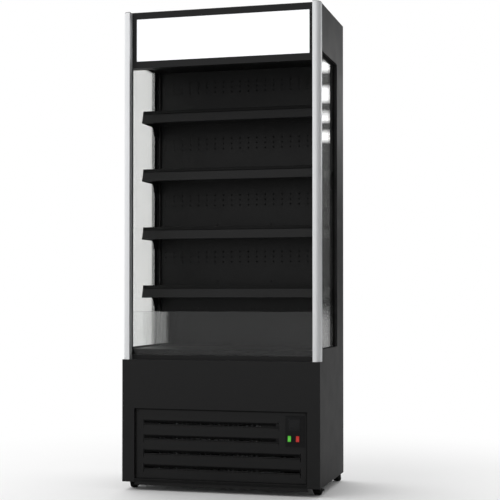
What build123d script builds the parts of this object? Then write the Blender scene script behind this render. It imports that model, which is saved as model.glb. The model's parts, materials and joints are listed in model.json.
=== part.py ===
from build123d import *
import os

# Open multideck display fridge on low castors. All sizes in millimetres.
# Frame: +Z up, the front faces -Y, +X is to the right seen from the front. The origin
# is on the floor under the middle of the cabinet. A depth is counted back from the
# plane of the front fascia, and depth_y() turns it into a Y value.

# ---- Cabinet envelope ----
WIDTH = 840.0
DEPTH = 500.0
FLOOR_GAP = 35.0  # floor to the underside of the base
BASE_TOP = 542.0  # ledge that the corner posts stand on
SIDE_TOP = 1990.0
SIDE_WALL = 20.0
SHEET = 1.2
FIT = 0.3  # gap between pieces that slide or drop into place

# ---- Side windows ----
WINDOW_BOTTOM = 590.0
WINDOW_TOP = 1797.0
WINDOW_REAR = 361.0
PANE = 4.0
PANE_INSET = 15.5  # outer face of the cabinet to the outer face of the pane
GASKET = 2.0
GASKET_DEPTH = 10.0

# ---- Corner posts ----
POST_WIDTH = 30.6
POST_DEPTH = 43.0  # along the cabinet's side
POST_INNER_DEPTH = 32.6  # along the inner face
POST_RADIUS = 28.0
POST_WALL = 2.0
POST_CAP = 2.0
SEAL_STRIP = 13.4  # dark strip between a post and its pane

# ---- Lit header ----
HEADER_BOTTOM = 1760.0
HEADER_RISE = 4.0  # header top above the sides
HEADER_DEPTH = 45.4
HEADER_WALL = 3.0
SIGN_WIDTH = 741.0
SIGN_BOTTOM = 1788.7
SIGN_TOP = 1965.7
SIGN_PANEL = 3.0
SIGN_LAP = 6.0  # how far the sign reaches behind its frame
LED_WIDTH = 12.0
LED_THICK = 4.0

# ---- Roof, back and canopy ----
ROOF = 40.0
BACK_WALL = 40.0
DUCT_DEPTH = 390.0  # depth of the perforated inner back
CANOPY = 1800.0  # underside of the lining, just above the side windows
OUTLET_BOTTOM = 1776.0
OUTLET_DEPTH = 34.0
OUTLET_HEIGHT = 25.0
OUTLET_CELL = 8.0
OUTLET_RIB = 1.4
OUTLET_RIM = 3.0
LAMP_WIDTH = 22.0
LAMP_HEIGHT = 12.0
LAMP_END_GAP = 30.0
DUCT_HOLE = 7.0
DUCT_HOLE_PITCH_X = 38.0
DUCT_HOLE_PITCH_Z = 22.0
DUCT_HOLE_ROWS = 3
DUCT_HOLE_DROP = 70.0  # rail top down to the middle row of holes

# ---- Shelves ----
SHELF_COUNT = 4
SLOT_PITCH = 25.0
SHELF_STEPS = 10  # upright slots from one shelf to the next
LOW_RAIL_TOP = 851.0
RAIL_HEIGHT = 53.0
RAIL_TOP_DEPTH = 188.0
RAIL_LEAN = 20.0  # how far the rail's foot stands in front of its top
RAIL_SHEET = 2.0
RAIL_LIP = 7.0
SHELF_SIDE_GAP = 4.5
SHELF_SINK = 14.0  # rail top above the shelf plate
SHELF_FLANGE = 26.0
SHELF_BEND = 3.0
BRACKET_SHEET = 3.0
BRACKET_FLAT_END = 290.0
BRACKET_CURVE = 28.0
BRACKET_LEG = 36.0
BRACKET_NOSE = 10.0
HOOK_LENGTH = 10.0
HOOK_HEIGHT = 14.0

# ---- Slotted uprights ----
UPRIGHT_WIDTH = 16.0
UPRIGHT_DEPTH = 14.0
UPRIGHT_WALL = 1.5
SLOT_HEIGHT = 18.0
SLOT_MARGIN = 40.0

# ---- Deck and low front glass ----
DECK_TOP = 585.0
DECK_FRONT = 95.0
GRILLE_FRONT = 52.0
GRILLE_SLOT = 6.0
GRILLE_SLOT_PITCH = 13.0
GRILLE_BORDER = 7.0
NOSE_TOP = 561.0
NOSE_DEPTH = 17.4
RISER_TOP = 742.0
RISER_GLASS = 6.0
RISER_SETBACK = 5.0  # nose front to glass front
RISER_SEAT = 12.0

# ---- Base front ----
FASCIA_SHEET = 1.5
ACCESS_WIDTH = 734.0
ACCESS_BOTTOM = 49.0
ACCESS_TOP = 341.0
KICK_DEPTH = 6.0  # the bottom rail leans back to here
KICK_BOTTOM = 23.0  # and hangs down to here
PANEL_RECESS = 12.0
PANEL_LAP = 9.0
LOUVRE_GAP_Z = (276.7, 215.5, 154.2, 93.0)
LOUVRE_LEFT = -328.6
LOUVRE_RIGHT = (245.6, 245.6, 335.8, 335.8)
LOUVRE_HOOD = 14.0
LOUVRE_GAP = 6.0
LOUVRE_DEPTH = 10.0
LOUVRE_LIP = 5.0
LOUVRE_LIP_OUT = 3.0
LOUVRE_SLIT = 2.5  # upright slit at each end of a louvre
LOUVRE_SLIT_DROP = 16.0  # how far it reaches below the gap

# ---- Controls ----
PLATE_LEFT = 275.0
PLATE_RIGHT = 356.0
PLATE_BOTTOM = 198.2
PLATE_TOP = 324.8
PLATE_THICK = 1.5
DISPLAY_X = 311.0
DISPLAY_Z = 287.9
DISPLAY_SIZE = 54.0
DISPLAY_PROUD = 1.0
DISPLAY_BODY = 22.0
DISPLAY_RIM = 3.0
SWITCH_X = (291.8, 325.6)
SWITCH_Z = 231.0
SWITCH_RIM = 1.8
ROCKER_WIDTH = 12.8
ROCKER_HEIGHT = 24.6
ROCKER_THICK = 6.0
ROCKER_PROUD = 2.5
ROCKER_TILT = 8.0  # degrees each side of the middle
ROCKER_PIN = 2.6
SWITCH_BODY = 24.0
SWITCH_WALL = 1.6
PIN_FIT = 0.1

# ---- Insulated tub with the evaporator ----
TUB_BOTTOM = 352.0
TUB_WALL = 20.0
TUB_FLOOR = 25.0
SPOUT_RADIUS = 9.0
SPOUT_BORE = 6.0
SPOUT_LENGTH = 240.0
EVAP_LENGTH = 560.0
EVAP_FRONT = 235.0
EVAP_REAR = 385.0
EVAP_HEIGHT = 96.0
EVAP_FAN_DEPTH = 120.0
EVAP_FAN_RADIUS = 70.0

# ---- Condensing unit ----
PAN_SHEET = 1.5
PAN_FRONT = 9.0
PAN_FLANGE = 12.0
REAR_GRILLE_DEPTH = 478.0
VENT_LENGTH = 90.0
VENT_HEIGHT = 6.0
VENT_PITCH_X = 120.0
VENT_PITCH_Z = 18.0
VENT_COLUMNS = 6
VENT_ROWS = 9
COND_X = -60.0
COND_LENGTH = 420.0
COND_FRONT = 40.0
COND_REAR = 92.0
COND_HEIGHT = 230.0
COND_FAN_RADIUS = 100.0
SHROUD_PLATE = 2.0
MOTOR_RADIUS = 32.0
MOTOR_LENGTH = 46.0
MOTOR_BACKPLATE = 5.0
FAN_HUB = 24.0
FAN_HUB_LENGTH = 18.0
FAN_TIP_GAP = 4.0
FAN_BLADES = 5
FAN_PITCH = 28.0
FAN_BLADE_THICK = 2.0
FAN_CHORD = 34.0
SHAFT_RADIUS = 4.0
SHAFT_REACH = 24.0
SHAFT_FIT = 0.06
COMP_X = 262.0
COMP_DEPTH = 330.0
COMP_RADIUS = 78.0
COMP_HEIGHT = 150.0
COMP_FOOT = 12.0
COMP_FOOT_RADIUS = 9.0
COMP_FOOT_SPAN_X = 150.0
COMP_FOOT_SPAN_Y = 110.0
COMP_PLATE = 3.0
TERMINAL_BOX = 24.0
TERMINAL_REACH = 24.0
DISCHARGE_OFFSET = -30.0  # compressor middle to its discharge pipe
SUCTION_OFFSET = 28.0
SUCTION_X = 330.0
SUCTION_JOG = 300.0  # height where the suction pipe steps over to the compressor
LIQUID_X = 370.0
DRIER_RADIUS = 11.0
DRIER_FRONT = 120.0
DRIER_LENGTH = 70.0
PIPE_RADIUS = 4.0
PIPE_BEND = 18.0
TRAY_X = -250.0
TRAY_DEPTH = 330.0
TRAY_LENGTH = 220.0
TRAY_WIDTH = 170.0
TRAY_HEIGHT = 40.0
TRAY_WALL = 2.0
COIL_FOOT = 12.0
COIL_PLATE = 2.0
COIL_FIN = 1.0
COIL_FIN_PITCH = 20.0
COIL_TUBE = 5.0
COIL_TUBE_PITCH = 32.0

# ---- Mains inlet ----
GLAND_X = -330.0
GLAND_Z = 78.0
GLAND_RADIUS = 11.0
GLAND_BORE = 4.5
GLAND_LENGTH = 18.0
GLAND_NUT = 15.0
GLAND_FLANGE = 5.0

# ---- Castors ----
CASTOR_X = 392.0
CASTOR_FRONT_DEPTH = 70.0
CASTOR_REAR_DEPTH = 458.0
CASTOR_PLATE = 46.0
CASTOR_PLATE_THICK = 2.0
CASTOR_TRAIL = 11.0
CASTOR_AIM = {"front_left": 100.0, "front_right": 80.0, "rear_left": 120.0, "rear_right": 60.0}
BRAKED = ("front_left", "front_right")
WHEEL_RADIUS = 13.5
WHEEL_WIDTH = 28.0
WHEEL_EDGE = 3.0
AXLE_RADIUS = 3.0
AXLE_FIT = 0.08
CHEEK = 2.4
CHEEK_GAP = 0.6
CHEEK_REACH = 12.0  # kingpin to the cheek's far end under the crown
CROWN_RADIUS = 21.0
CROWN_THICK = 3.2
KINGPIN_RADIUS = 5.0
RACE_GAP = 0.3
PEDAL_ARM = 1.8
PEDAL_HEIGHT = 8.0
PEDAL_FOOT = 8.0
PEDAL_LIFT = 2.5  # tread to the foot while the brake is off
PEDAL_PIN_RADIUS = 1.8
PEDAL_PIN_AHEAD = 3.0
PEDAL_PIN_RISE = 5.0

# ---- Derived places ----
FRONT = -DEPTH / 2
X_OUT = WIDTH / 2
SHELF_PITCH = SHELF_STEPS * SLOT_PITCH
X_IN = X_OUT - SIDE_WALL
X_POST = X_OUT - POST_WIDTH
X_SHELF = X_IN - SHELF_SIDE_GAP
BASE_BOTTOM = FLOOR_GAP
HEADER_TOP = SIDE_TOP + HEADER_RISE
HEADER_BACK = POST_INNER_DEPTH + HEADER_DEPTH
PANEL_FACE = PANEL_RECESS  # depth of the louvre panel's front
BACK_FACE = DEPTH - BACK_WALL  # depth of the insulated back's inner face
PAN_TOP = BASE_BOTTOM + PAN_SHEET
TUB_TOP = BASE_TOP - FASCIA_SHEET
TUB_WELL = TUB_BOTTOM + TUB_FLOOR
CASTORS = {
    "front_left": (-CASTOR_X, CASTOR_FRONT_DEPTH),
    "front_right": (CASTOR_X, CASTOR_FRONT_DEPTH),
    "rear_left": (-CASTOR_X, CASTOR_REAR_DEPTH),
    "rear_right": (CASTOR_X, CASTOR_REAR_DEPTH),
}


def depth_y(depth):
    """Y of a plane that lies this far behind the fascia."""
    return FRONT + depth


def block(x_low, x_high, depth_low, depth_high, z_low, z_high, mode=Mode.ADD):
    """Box between six planes, added to or cut from the part being built."""
    size = (x_high - x_low, depth_high - depth_low, z_high - z_low)
    middle = ((x_low + x_high) / 2, depth_y((depth_low + depth_high) / 2), (z_low + z_high) / 2)
    with Locations(middle):
        Box(*size, mode=mode)


def rod(x, depth, z, radius, length, axis="Z", mode=Mode.ADD):
    """Cylinder that starts at a point and runs along an axis."""
    turn = {"X": (0, 90, 0), "Y": (-90, 0, 0), "Z": (0, 0, 0)}[axis]
    with Locations(Location((x, depth_y(depth), z), turn)):
        low = (Align.CENTER, Align.CENTER, Align.MIN)
        Cylinder(radius, length, align=low, mode=mode)


def save(part, name):
    """Label a finished piece and write it under its node's name."""
    part.label = name
    export_step(part, f"parts/{name}.step")


def mirrored(part):
    """The same piece on the other side of the cabinet."""
    with BuildPart() as other_side:
        add(part)
        mirror(about=Plane.YZ, mode=Mode.REPLACE)
    return other_side.part


def paired(part):
    """A right-hand piece together with its mirror image, as separate solids."""
    with BuildPart() as pair:
        add(part)
        mirror(about=Plane.YZ)
    return pair.part


# ---- Cabinet shell ----
def make_side_panel():
    """Right foamed side wall with its window, open towards the corner post."""
    with BuildPart() as side_panel:
        block(X_IN, X_OUT, FASCIA_SHEET, DEPTH, BASE_BOTTOM, SIDE_TOP)
        block(X_IN, X_OUT, FASCIA_SHEET, POST_DEPTH, BASE_TOP, SIDE_TOP, Mode.SUBTRACT)
        block(X_IN, X_OUT, POST_DEPTH, WINDOW_REAR, WINDOW_BOTTOM, WINDOW_TOP, Mode.SUBTRACT)
    return side_panel.part


def make_side_glass():
    """Right toughened pane, held all round by its gasket."""
    outer = X_OUT - PANE_INSET
    with BuildPart() as side_glass:
        block(outer - PANE, outer, POST_DEPTH + GASKET, WINDOW_REAR - GASKET,
              WINDOW_BOTTOM + GASKET, WINDOW_TOP - GASKET)
    return side_glass.part


def make_glass_gasket():
    """Right rubber frame round the pane, with the strip that seals it to the post."""
    with BuildPart() as glass_gasket:
        block(X_IN, X_IN + GASKET_DEPTH, POST_DEPTH, WINDOW_REAR, WINDOW_BOTTOM, WINDOW_TOP)
        block(X_IN, X_IN + GASKET_DEPTH, POST_DEPTH + GASKET, WINDOW_REAR - GASKET,
              WINDOW_BOTTOM + GASKET, WINDOW_TOP - GASKET, Mode.SUBTRACT)
        block(X_POST, X_IN, POST_INNER_DEPTH, POST_INNER_DEPTH + SEAL_STRIP,
              NOSE_TOP, HEADER_BOTTOM)
    return glass_gasket.part


def post_outline(z):
    """Outline of the right post: a quarter round in front, stepped to lap the wall."""
    with BuildSketch(Plane.XY.offset(z)) as outline:
        with BuildLine():
            Polyline((X_OUT, depth_y(POST_RADIUS)), (X_OUT, depth_y(POST_DEPTH)),
                     (X_IN, depth_y(POST_DEPTH)), (X_IN, depth_y(POST_INNER_DEPTH)),
                     (X_POST, depth_y(POST_INNER_DEPTH)), (X_POST, depth_y(0)),
                     (X_OUT - POST_RADIUS, depth_y(0)))
            CenterArc((X_OUT - POST_RADIUS, depth_y(POST_RADIUS)), POST_RADIUS, -90, 90)
        make_face()
    return outline.sketch


def make_corner_post():
    """Right aluminium extrusion, open along its length like a tube."""
    with BuildPart() as corner_post:
        extrude(post_outline(BASE_TOP), amount=SIDE_TOP - BASE_TOP)
        with BuildSketch(Plane.XY.offset(BASE_TOP)):
            add(post_outline(0))
            offset(amount=-POST_WALL, kind=Kind.INTERSECTION, mode=Mode.REPLACE)
        extrude(amount=SIDE_TOP - BASE_TOP, mode=Mode.SUBTRACT)
    return corner_post.part


def make_post_cap():
    """Plastic cap that closes the top of the right post."""
    with BuildPart() as post_cap:
        extrude(post_outline(SIDE_TOP), amount=POST_CAP)
    return post_cap.part


def make_roof():
    """Foamed roof between the sides, from the header to the back."""
    with BuildPart() as roof_panel:
        block(-X_IN, X_IN, HEADER_BACK, DEPTH, SIDE_TOP - ROOF, SIDE_TOP)
    return roof_panel.part


def make_back():
    """Foamed back wall from the tub's floor up to the roof."""
    with BuildPart() as back_panel:
        block(-X_IN, X_IN, BACK_FACE, DEPTH, TUB_BOTTOM, SIDE_TOP - ROOF)
    return back_panel.part


# ---- Header ----
def make_header_frame():
    """Black light box: a front frame with walls behind it and a closed back."""
    with BuildPart() as header_frame:
        block(-X_IN, X_IN, POST_INNER_DEPTH, HEADER_BACK, HEADER_BOTTOM, HEADER_TOP)
        block(-X_IN + HEADER_WALL, X_IN - HEADER_WALL,
              POST_INNER_DEPTH + HEADER_WALL, HEADER_BACK - HEADER_WALL,
              HEADER_BOTTOM + HEADER_WALL, HEADER_TOP - HEADER_WALL, Mode.SUBTRACT)
        block(-SIGN_WIDTH / 2, SIGN_WIDTH / 2, POST_INNER_DEPTH, POST_INNER_DEPTH + HEADER_WALL,
              SIGN_BOTTOM, SIGN_TOP, Mode.SUBTRACT)
    return header_frame.part


def make_sign_panel():
    """Bare white diffuser behind the header's frame."""
    face = POST_INNER_DEPTH + HEADER_WALL
    with BuildPart() as sign_panel:
        block(-SIGN_WIDTH / 2 - SIGN_LAP, SIGN_WIDTH / 2 + SIGN_LAP, face, face + SIGN_PANEL,
              SIGN_BOTTOM - SIGN_LAP, SIGN_TOP + SIGN_LAP)
    return sign_panel.part


def make_led_strips():
    """Two strips on the light box's back wall and the lamp bar under the canopy."""
    seat = HEADER_BACK - HEADER_WALL
    third = (SIGN_TOP - SIGN_BOTTOM) / 3
    lamp_front = HEADER_BACK + OUTLET_DEPTH + SHEET
    with BuildPart() as led_strips:
        for z in (SIGN_BOTTOM + third, SIGN_TOP - third):
            block(-SIGN_WIDTH / 2, SIGN_WIDTH / 2, seat - LED_THICK, seat,
                  z - LED_WIDTH / 2, z + LED_WIDTH / 2)
        block(-X_IN + LAMP_END_GAP, X_IN - LAMP_END_GAP, lamp_front, lamp_front + LAMP_WIDTH,
              CANOPY - LAMP_HEIGHT, CANOPY)
    return led_strips.part


# ---- Canopy and air duct ----
def make_air_outlet():
    """Honeycomb that straightens the air curtain behind the header."""
    pitch = OUTLET_CELL + OUTLET_RIB
    room_x = 2 * (X_IN - OUTLET_RIM)
    room_y = OUTLET_DEPTH - 2 * OUTLET_RIM
    count_x = int((room_x + OUTLET_RIB) // pitch)
    count_y = int((room_y + OUTLET_RIB) // pitch)
    with BuildPart() as air_outlet:
        block(-X_IN, X_IN, HEADER_BACK, HEADER_BACK + OUTLET_DEPTH,
              OUTLET_BOTTOM, OUTLET_BOTTOM + OUTLET_HEIGHT)
        middle = depth_y(HEADER_BACK + OUTLET_DEPTH / 2)
        with BuildSketch(Plane.XY.offset(OUTLET_BOTTOM)):
            with Locations((0, middle)):
                with GridLocations(pitch, pitch, count_x, count_y):
                    Rectangle(OUTLET_CELL, OUTLET_CELL)
        extrude(amount=OUTLET_HEIGHT, mode=Mode.SUBTRACT)
    return air_outlet.part


def make_canopy_lining():
    """Sheet under the roof that guides the air forward, with a lip in front of the lamp."""
    front = HEADER_BACK + OUTLET_DEPTH
    with BuildPart() as canopy_lining:
        block(-X_IN, X_IN, front, DUCT_DEPTH, CANOPY, CANOPY + SHEET)
        block(-X_IN, X_IN, front, front + SHEET, OUTLET_BOTTOM, CANOPY + SHEET)
    return canopy_lining.part


def make_duct_panel():
    """Perforated inner back, with rows of air holes over the deck and each shelf."""
    rear = DUCT_DEPTH + SHEET
    hole_count = int((2 * X_IN - DUCT_HOLE_PITCH_X) // DUCT_HOLE_PITCH_X)
    with BuildPart() as duct_panel:
        block(-X_IN, X_IN, DUCT_DEPTH, rear, TUB_TOP, CANOPY + SHEET)
        for side in (-1, 1):
            block(min(side * X_IN, side * (X_IN - SHEET)), max(side * X_IN, side * (X_IN - SHEET)),
                  rear, BACK_FACE, TUB_TOP, CANOPY + SHEET)
        for bay in range(SHELF_COUNT + 1):
            z = LOW_RAIL_TOP + bay * SHELF_PITCH - DUCT_HOLE_DROP - RAIL_HEIGHT
            with Locations(Location((0, depth_y(DUCT_DEPTH + SHEET / 2), z), (90, 0, 0))):
                with GridLocations(DUCT_HOLE_PITCH_X, DUCT_HOLE_PITCH_Z, hole_count, DUCT_HOLE_ROWS):
                    Cylinder(DUCT_HOLE / 2, 2 * SHEET, mode=Mode.SUBTRACT)
    return duct_panel.part


# ---- Shelving ----
def make_uprights():
    """Two slotted channels against the inner back, one in each corner."""
    z_low = DECK_TOP
    z_high = CANOPY
    slot_count = int((z_high - z_low - 2 * SLOT_MARGIN) // SLOT_PITCH) + 1
    front = DUCT_DEPTH - UPRIGHT_DEPTH
    slot_width = BRACKET_SHEET + 2 * FIT
    slot_x = X_SHELF - BRACKET_SHEET / 2
    with BuildPart() as uprights:
        for side in (-1, 1):
            x_a = side * X_IN
            x_b = side * (X_IN - UPRIGHT_WIDTH)
            block(min(x_a, x_b), max(x_a, x_b), front, DUCT_DEPTH, z_low, z_high)
            x_c = side * (X_IN - UPRIGHT_WALL)
            x_d = side * (X_IN - UPRIGHT_WIDTH + UPRIGHT_WALL)
            block(min(x_c, x_d), max(x_c, x_d), front + UPRIGHT_WALL, DUCT_DEPTH,
                  z_low, z_high, Mode.SUBTRACT)
            for row in range(slot_count):
                z = LOW_RAIL_TOP - RAIL_HEIGHT + (row - slot_rows_below()) * SLOT_PITCH
                block(side * slot_x - slot_width / 2, side * slot_x + slot_width / 2,
                      front, front + UPRIGHT_WALL, z, z + SLOT_HEIGHT, Mode.SUBTRACT)
    return uprights.part


def slot_rows_below():
    """Slot rows that fit under the lowest bracket's foot."""
    room = LOW_RAIL_TOP - RAIL_HEIGHT - DECK_TOP - SLOT_MARGIN
    return int(room // SLOT_PITCH)


def rail_top(level):
    """Height of a shelf rail's upper edge."""
    return LOW_RAIL_TOP + level * SHELF_PITCH


def make_shelf(level):
    """Sheet steel shelf with flanges folded down all round."""
    top = rail_top(level) - SHELF_SINK
    inner = X_SHELF - BRACKET_SHEET
    front = RAIL_TOP_DEPTH
    rear = DUCT_DEPTH - UPRIGHT_DEPTH - FIT
    with BuildPart() as shelf:
        block(-inner, inner, front, rear, top - SHELF_FLANGE, top)
        fold_edges = shelf.edges().filter_by(Axis.X).group_by(Axis.Z)[-1]
        fillet(fold_edges, SHELF_BEND)
        block(-inner + SHEET, inner - SHEET, front + SHEET, rear - SHEET,
              top - SHELF_FLANGE, top - SHEET, Mode.SUBTRACT)
    return shelf.part


def make_price_rail(level):
    """Leaning label rail with a back leg on the shelf's flange and a lip at its foot."""
    top = rail_top(level)
    foot = top - RAIL_HEIGHT
    leg_low = top - SHELF_SINK - SHELF_FLANGE
    foot_depth = RAIL_TOP_DEPTH - RAIL_LEAN
    slope = (RAIL_LEAN - RAIL_SHEET) / RAIL_HEIGHT
    notch_z = foot + (RAIL_LEAN - 2 * RAIL_SHEET) / slope
    lip_back = foot_depth + RAIL_SHEET + RAIL_LIP
    with BuildPart() as price_rail:
        with BuildSketch(Plane.YZ.offset(-X_SHELF)):
            with BuildLine():
                Polyline((depth_y(foot_depth), foot), (depth_y(RAIL_TOP_DEPTH - RAIL_SHEET), top),
                         (depth_y(RAIL_TOP_DEPTH), top), (depth_y(RAIL_TOP_DEPTH), leg_low),
                         (depth_y(RAIL_TOP_DEPTH - RAIL_SHEET), leg_low),
                         (depth_y(RAIL_TOP_DEPTH - RAIL_SHEET), notch_z),
                         (depth_y(foot_depth + RAIL_SHEET * (1 + slope)), foot + RAIL_SHEET),
                         (depth_y(lip_back), foot + RAIL_SHEET), (depth_y(lip_back), foot),
                         close=True)
            make_face()
        extrude(amount=2 * X_SHELF)
    return price_rail.part


def bracket_outline(level, x):
    """Side view of a cantilever bracket, with a concave curve down to its rear leg."""
    flat = rail_top(level) - RAIL_HEIGHT
    top = rail_top(level) - SHELF_SINK
    foot_depth = RAIL_TOP_DEPTH - RAIL_LEAN + RAIL_LIP + RAIL_SHEET + FIT
    rear = depth_y(DUCT_DEPTH - UPRIGHT_DEPTH)
    neck = depth_y(RAIL_TOP_DEPTH + FIT)
    curve_rear = depth_y(BRACKET_FLAT_END + BRACKET_CURVE)
    with BuildSketch(Plane.YZ.offset(x)) as outline:
        with BuildLine():
            Polyline((curve_rear, flat - BRACKET_CURVE), (curve_rear, flat - BRACKET_LEG),
                     (rear, flat - BRACKET_LEG), (rear, top), (neck, top),
                     (neck, flat + BRACKET_NOSE), (depth_y(foot_depth), flat),
                     (depth_y(BRACKET_FLAT_END), flat))
            CenterArc((depth_y(BRACKET_FLAT_END), flat - BRACKET_CURVE), BRACKET_CURVE, 90, -90)
        make_face()
    return outline.sketch


def make_brackets():
    """Pairs of cantilever brackets, hooked into the uprights under each shelf."""
    rear = DUCT_DEPTH - UPRIGHT_DEPTH
    with BuildPart() as shelf_brackets:
        for level in range(SHELF_COUNT):
            flat = rail_top(level) - RAIL_HEIGHT
            for x in (-X_SHELF, X_SHELF - BRACKET_SHEET):
                extrude(bracket_outline(level, x), amount=BRACKET_SHEET)
                for z in (flat, flat - SLOT_PITCH):
                    block(x, x + BRACKET_SHEET, rear, rear + HOOK_LENGTH,
                          z + FIT, z + FIT + HOOK_HEIGHT)
    return shelf_brackets.part


# ---- Deck ----
def make_deck_tray():
    """Bottom display tray, standing on the tub's rims on its folded ends."""
    rear = DUCT_DEPTH - UPRIGHT_DEPTH - FIT
    edge = X_IN - FIT
    with BuildPart() as deck_tray:
        block(-edge, edge, DECK_FRONT + FIT, rear, TUB_TOP, DECK_TOP)
        block(-edge + SHEET, edge - SHEET, DECK_FRONT + FIT, rear, TUB_TOP, DECK_TOP - SHEET,
              Mode.SUBTRACT)
        block(-edge, edge, DECK_FRONT + FIT, DECK_FRONT + FIT + SHEET,
              DECK_TOP - SHELF_FLANGE, DECK_TOP)
        block(-edge, edge, rear - SHEET, rear, DECK_TOP - SHELF_FLANGE, DECK_TOP)
    return deck_tray.part


def make_return_grille():
    """Slotted air return in front of the deck, standing on its folded ends."""
    edge = X_IN - FIT
    slot_length = DECK_FRONT - GRILLE_FRONT - 2 * GRILLE_BORDER
    slot_count = int(2 * (edge - GRILLE_BORDER) // GRILLE_SLOT_PITCH)
    with BuildPart() as return_grille:
        block(-edge, edge, GRILLE_FRONT, DECK_FRONT, TUB_TOP, DECK_TOP)
        block(-edge + SHEET, edge - SHEET, GRILLE_FRONT, DECK_FRONT, TUB_TOP, DECK_TOP - SHEET,
              Mode.SUBTRACT)
        middle = depth_y((GRILLE_FRONT + DECK_FRONT) / 2)
        with BuildSketch(Plane.XY.offset(DECK_TOP - SHEET)):
            with Locations((0, middle)):
                with GridLocations(GRILLE_SLOT_PITCH, slot_length, slot_count, 1):
                    SlotOverall(slot_length, GRILLE_SLOT, rotation=90)
        extrude(amount=SHEET, mode=Mode.SUBTRACT)
    return return_grille.part


def make_glass_nose():
    """Black channel on the base ledge that grips the low front glass."""
    glass_front = POST_INNER_DEPTH + RISER_SETBACK
    with BuildPart() as glass_nose:
        block(-X_IN, X_IN, POST_INNER_DEPTH, POST_INNER_DEPTH + NOSE_DEPTH, BASE_TOP, NOSE_TOP)
        block(-X_IN, X_IN, glass_front, glass_front + RISER_GLASS,
              NOSE_TOP - RISER_SEAT, NOSE_TOP, Mode.SUBTRACT)
    return glass_nose.part


def make_front_glass():
    """Low clear glass that stands in the nose, between the seal strips."""
    glass_front = POST_INNER_DEPTH + RISER_SETBACK
    with BuildPart() as front_glass:
        block(-X_POST + FIT, X_POST - FIT, glass_front, glass_front + RISER_GLASS,
              NOSE_TOP - RISER_SEAT, RISER_TOP)
        top_edges = front_glass.edges().filter_by(Axis.X).group_by(Axis.Z)[-1]
        fillet(top_edges, RISER_GLASS / 4)
    return front_glass.part


# ---- Base front ----
def bottom_rail_outline(x):
    """Section of the fascia's bottom rail, which leans back and then hangs down."""
    rim = FASCIA_SHEET
    with BuildSketch(Plane.YZ.offset(x)) as outline:
        with BuildLine():
            Polyline((depth_y(0), ACCESS_BOTTOM), (depth_y(KICK_DEPTH), BASE_BOTTOM),
                     (depth_y(KICK_DEPTH), KICK_BOTTOM), (depth_y(KICK_DEPTH + rim), KICK_BOTTOM),
                     (depth_y(KICK_DEPTH + rim), BASE_BOTTOM), (depth_y(rim), ACCESS_BOTTOM), close=True)
        make_face()
    return outline.sketch


def make_fascia():
    """Black folded front with a ledge on top and an access opening with returns."""
    half = ACCESS_WIDTH / 2
    rim = FASCIA_SHEET
    with BuildPart() as front_fascia:
        block(-X_OUT, X_OUT, 0, rim, BASE_BOTTOM, BASE_TOP)
        block(-X_IN, X_IN, 0, POST_INNER_DEPTH + NOSE_DEPTH, BASE_TOP - rim, BASE_TOP)
        block(-half - rim, half + rim, 0, PANEL_RECESS, ACCESS_BOTTOM - rim, ACCESS_TOP + rim)
        block(-half, half, 0, PANEL_RECESS, ACCESS_BOTTOM, ACCESS_TOP, Mode.SUBTRACT)
        block(-half, half, 0, rim, BASE_BOTTOM, ACCESS_BOTTOM - rim, Mode.SUBTRACT)
        for low in (-half - rim, half):
            block(low, low + rim, 0, KICK_DEPTH + rim, BASE_BOTTOM, ACCESS_BOTTOM)
        extrude(bottom_rail_outline(-half - rim), amount=2 * (half + rim))
    return front_fascia.part


def hood_outline(gap_z, x, inset):
    """Section of a louvre's hood, drawn in by the sheet for its hollow inside."""
    near = depth_y(PANEL_FACE - inset)
    far = depth_y(PANEL_FACE + LOUVRE_DEPTH + SHEET - inset)
    with BuildSketch(Plane.YZ.offset(x)) as outline:
        with BuildLine():
            Polyline((near, gap_z + LOUVRE_GAP + LOUVRE_HOOD - 2 * inset),
                     (far, gap_z + LOUVRE_GAP - 2 * inset), (far, gap_z), (near, gap_z), close=True)
        make_face()
    return outline.sketch


def lip_outline(gap_z, x):
    """Section of the lip pressed out under a louvre's gap."""
    face = depth_y(PANEL_FACE)
    with BuildSketch(Plane.YZ.offset(x)) as outline:
        with BuildLine():
            Polyline((face, gap_z - LOUVRE_LIP), (face - LOUVRE_LIP_OUT, gap_z - SHEET),
                     (face - LOUVRE_LIP_OUT + SHEET, gap_z), (face, gap_z), close=True)
        make_face()
    return outline.sketch


def cut_control_openings(front, rear):
    """Cut the display's and the switches' openings through the part being built."""
    half = DISPLAY_SIZE / 2 - DISPLAY_RIM + FIT
    block(DISPLAY_X - half, DISPLAY_X + half, front, rear,
          DISPLAY_Z - half, DISPLAY_Z + half, Mode.SUBTRACT)
    half_x, half_z = switch_half_width() + FIT, switch_half_height() + FIT
    for x in SWITCH_X:
        block(x - half_x, x + half_x, front, rear,
              SWITCH_Z - half_z, SWITCH_Z + half_z, Mode.SUBTRACT)


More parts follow.
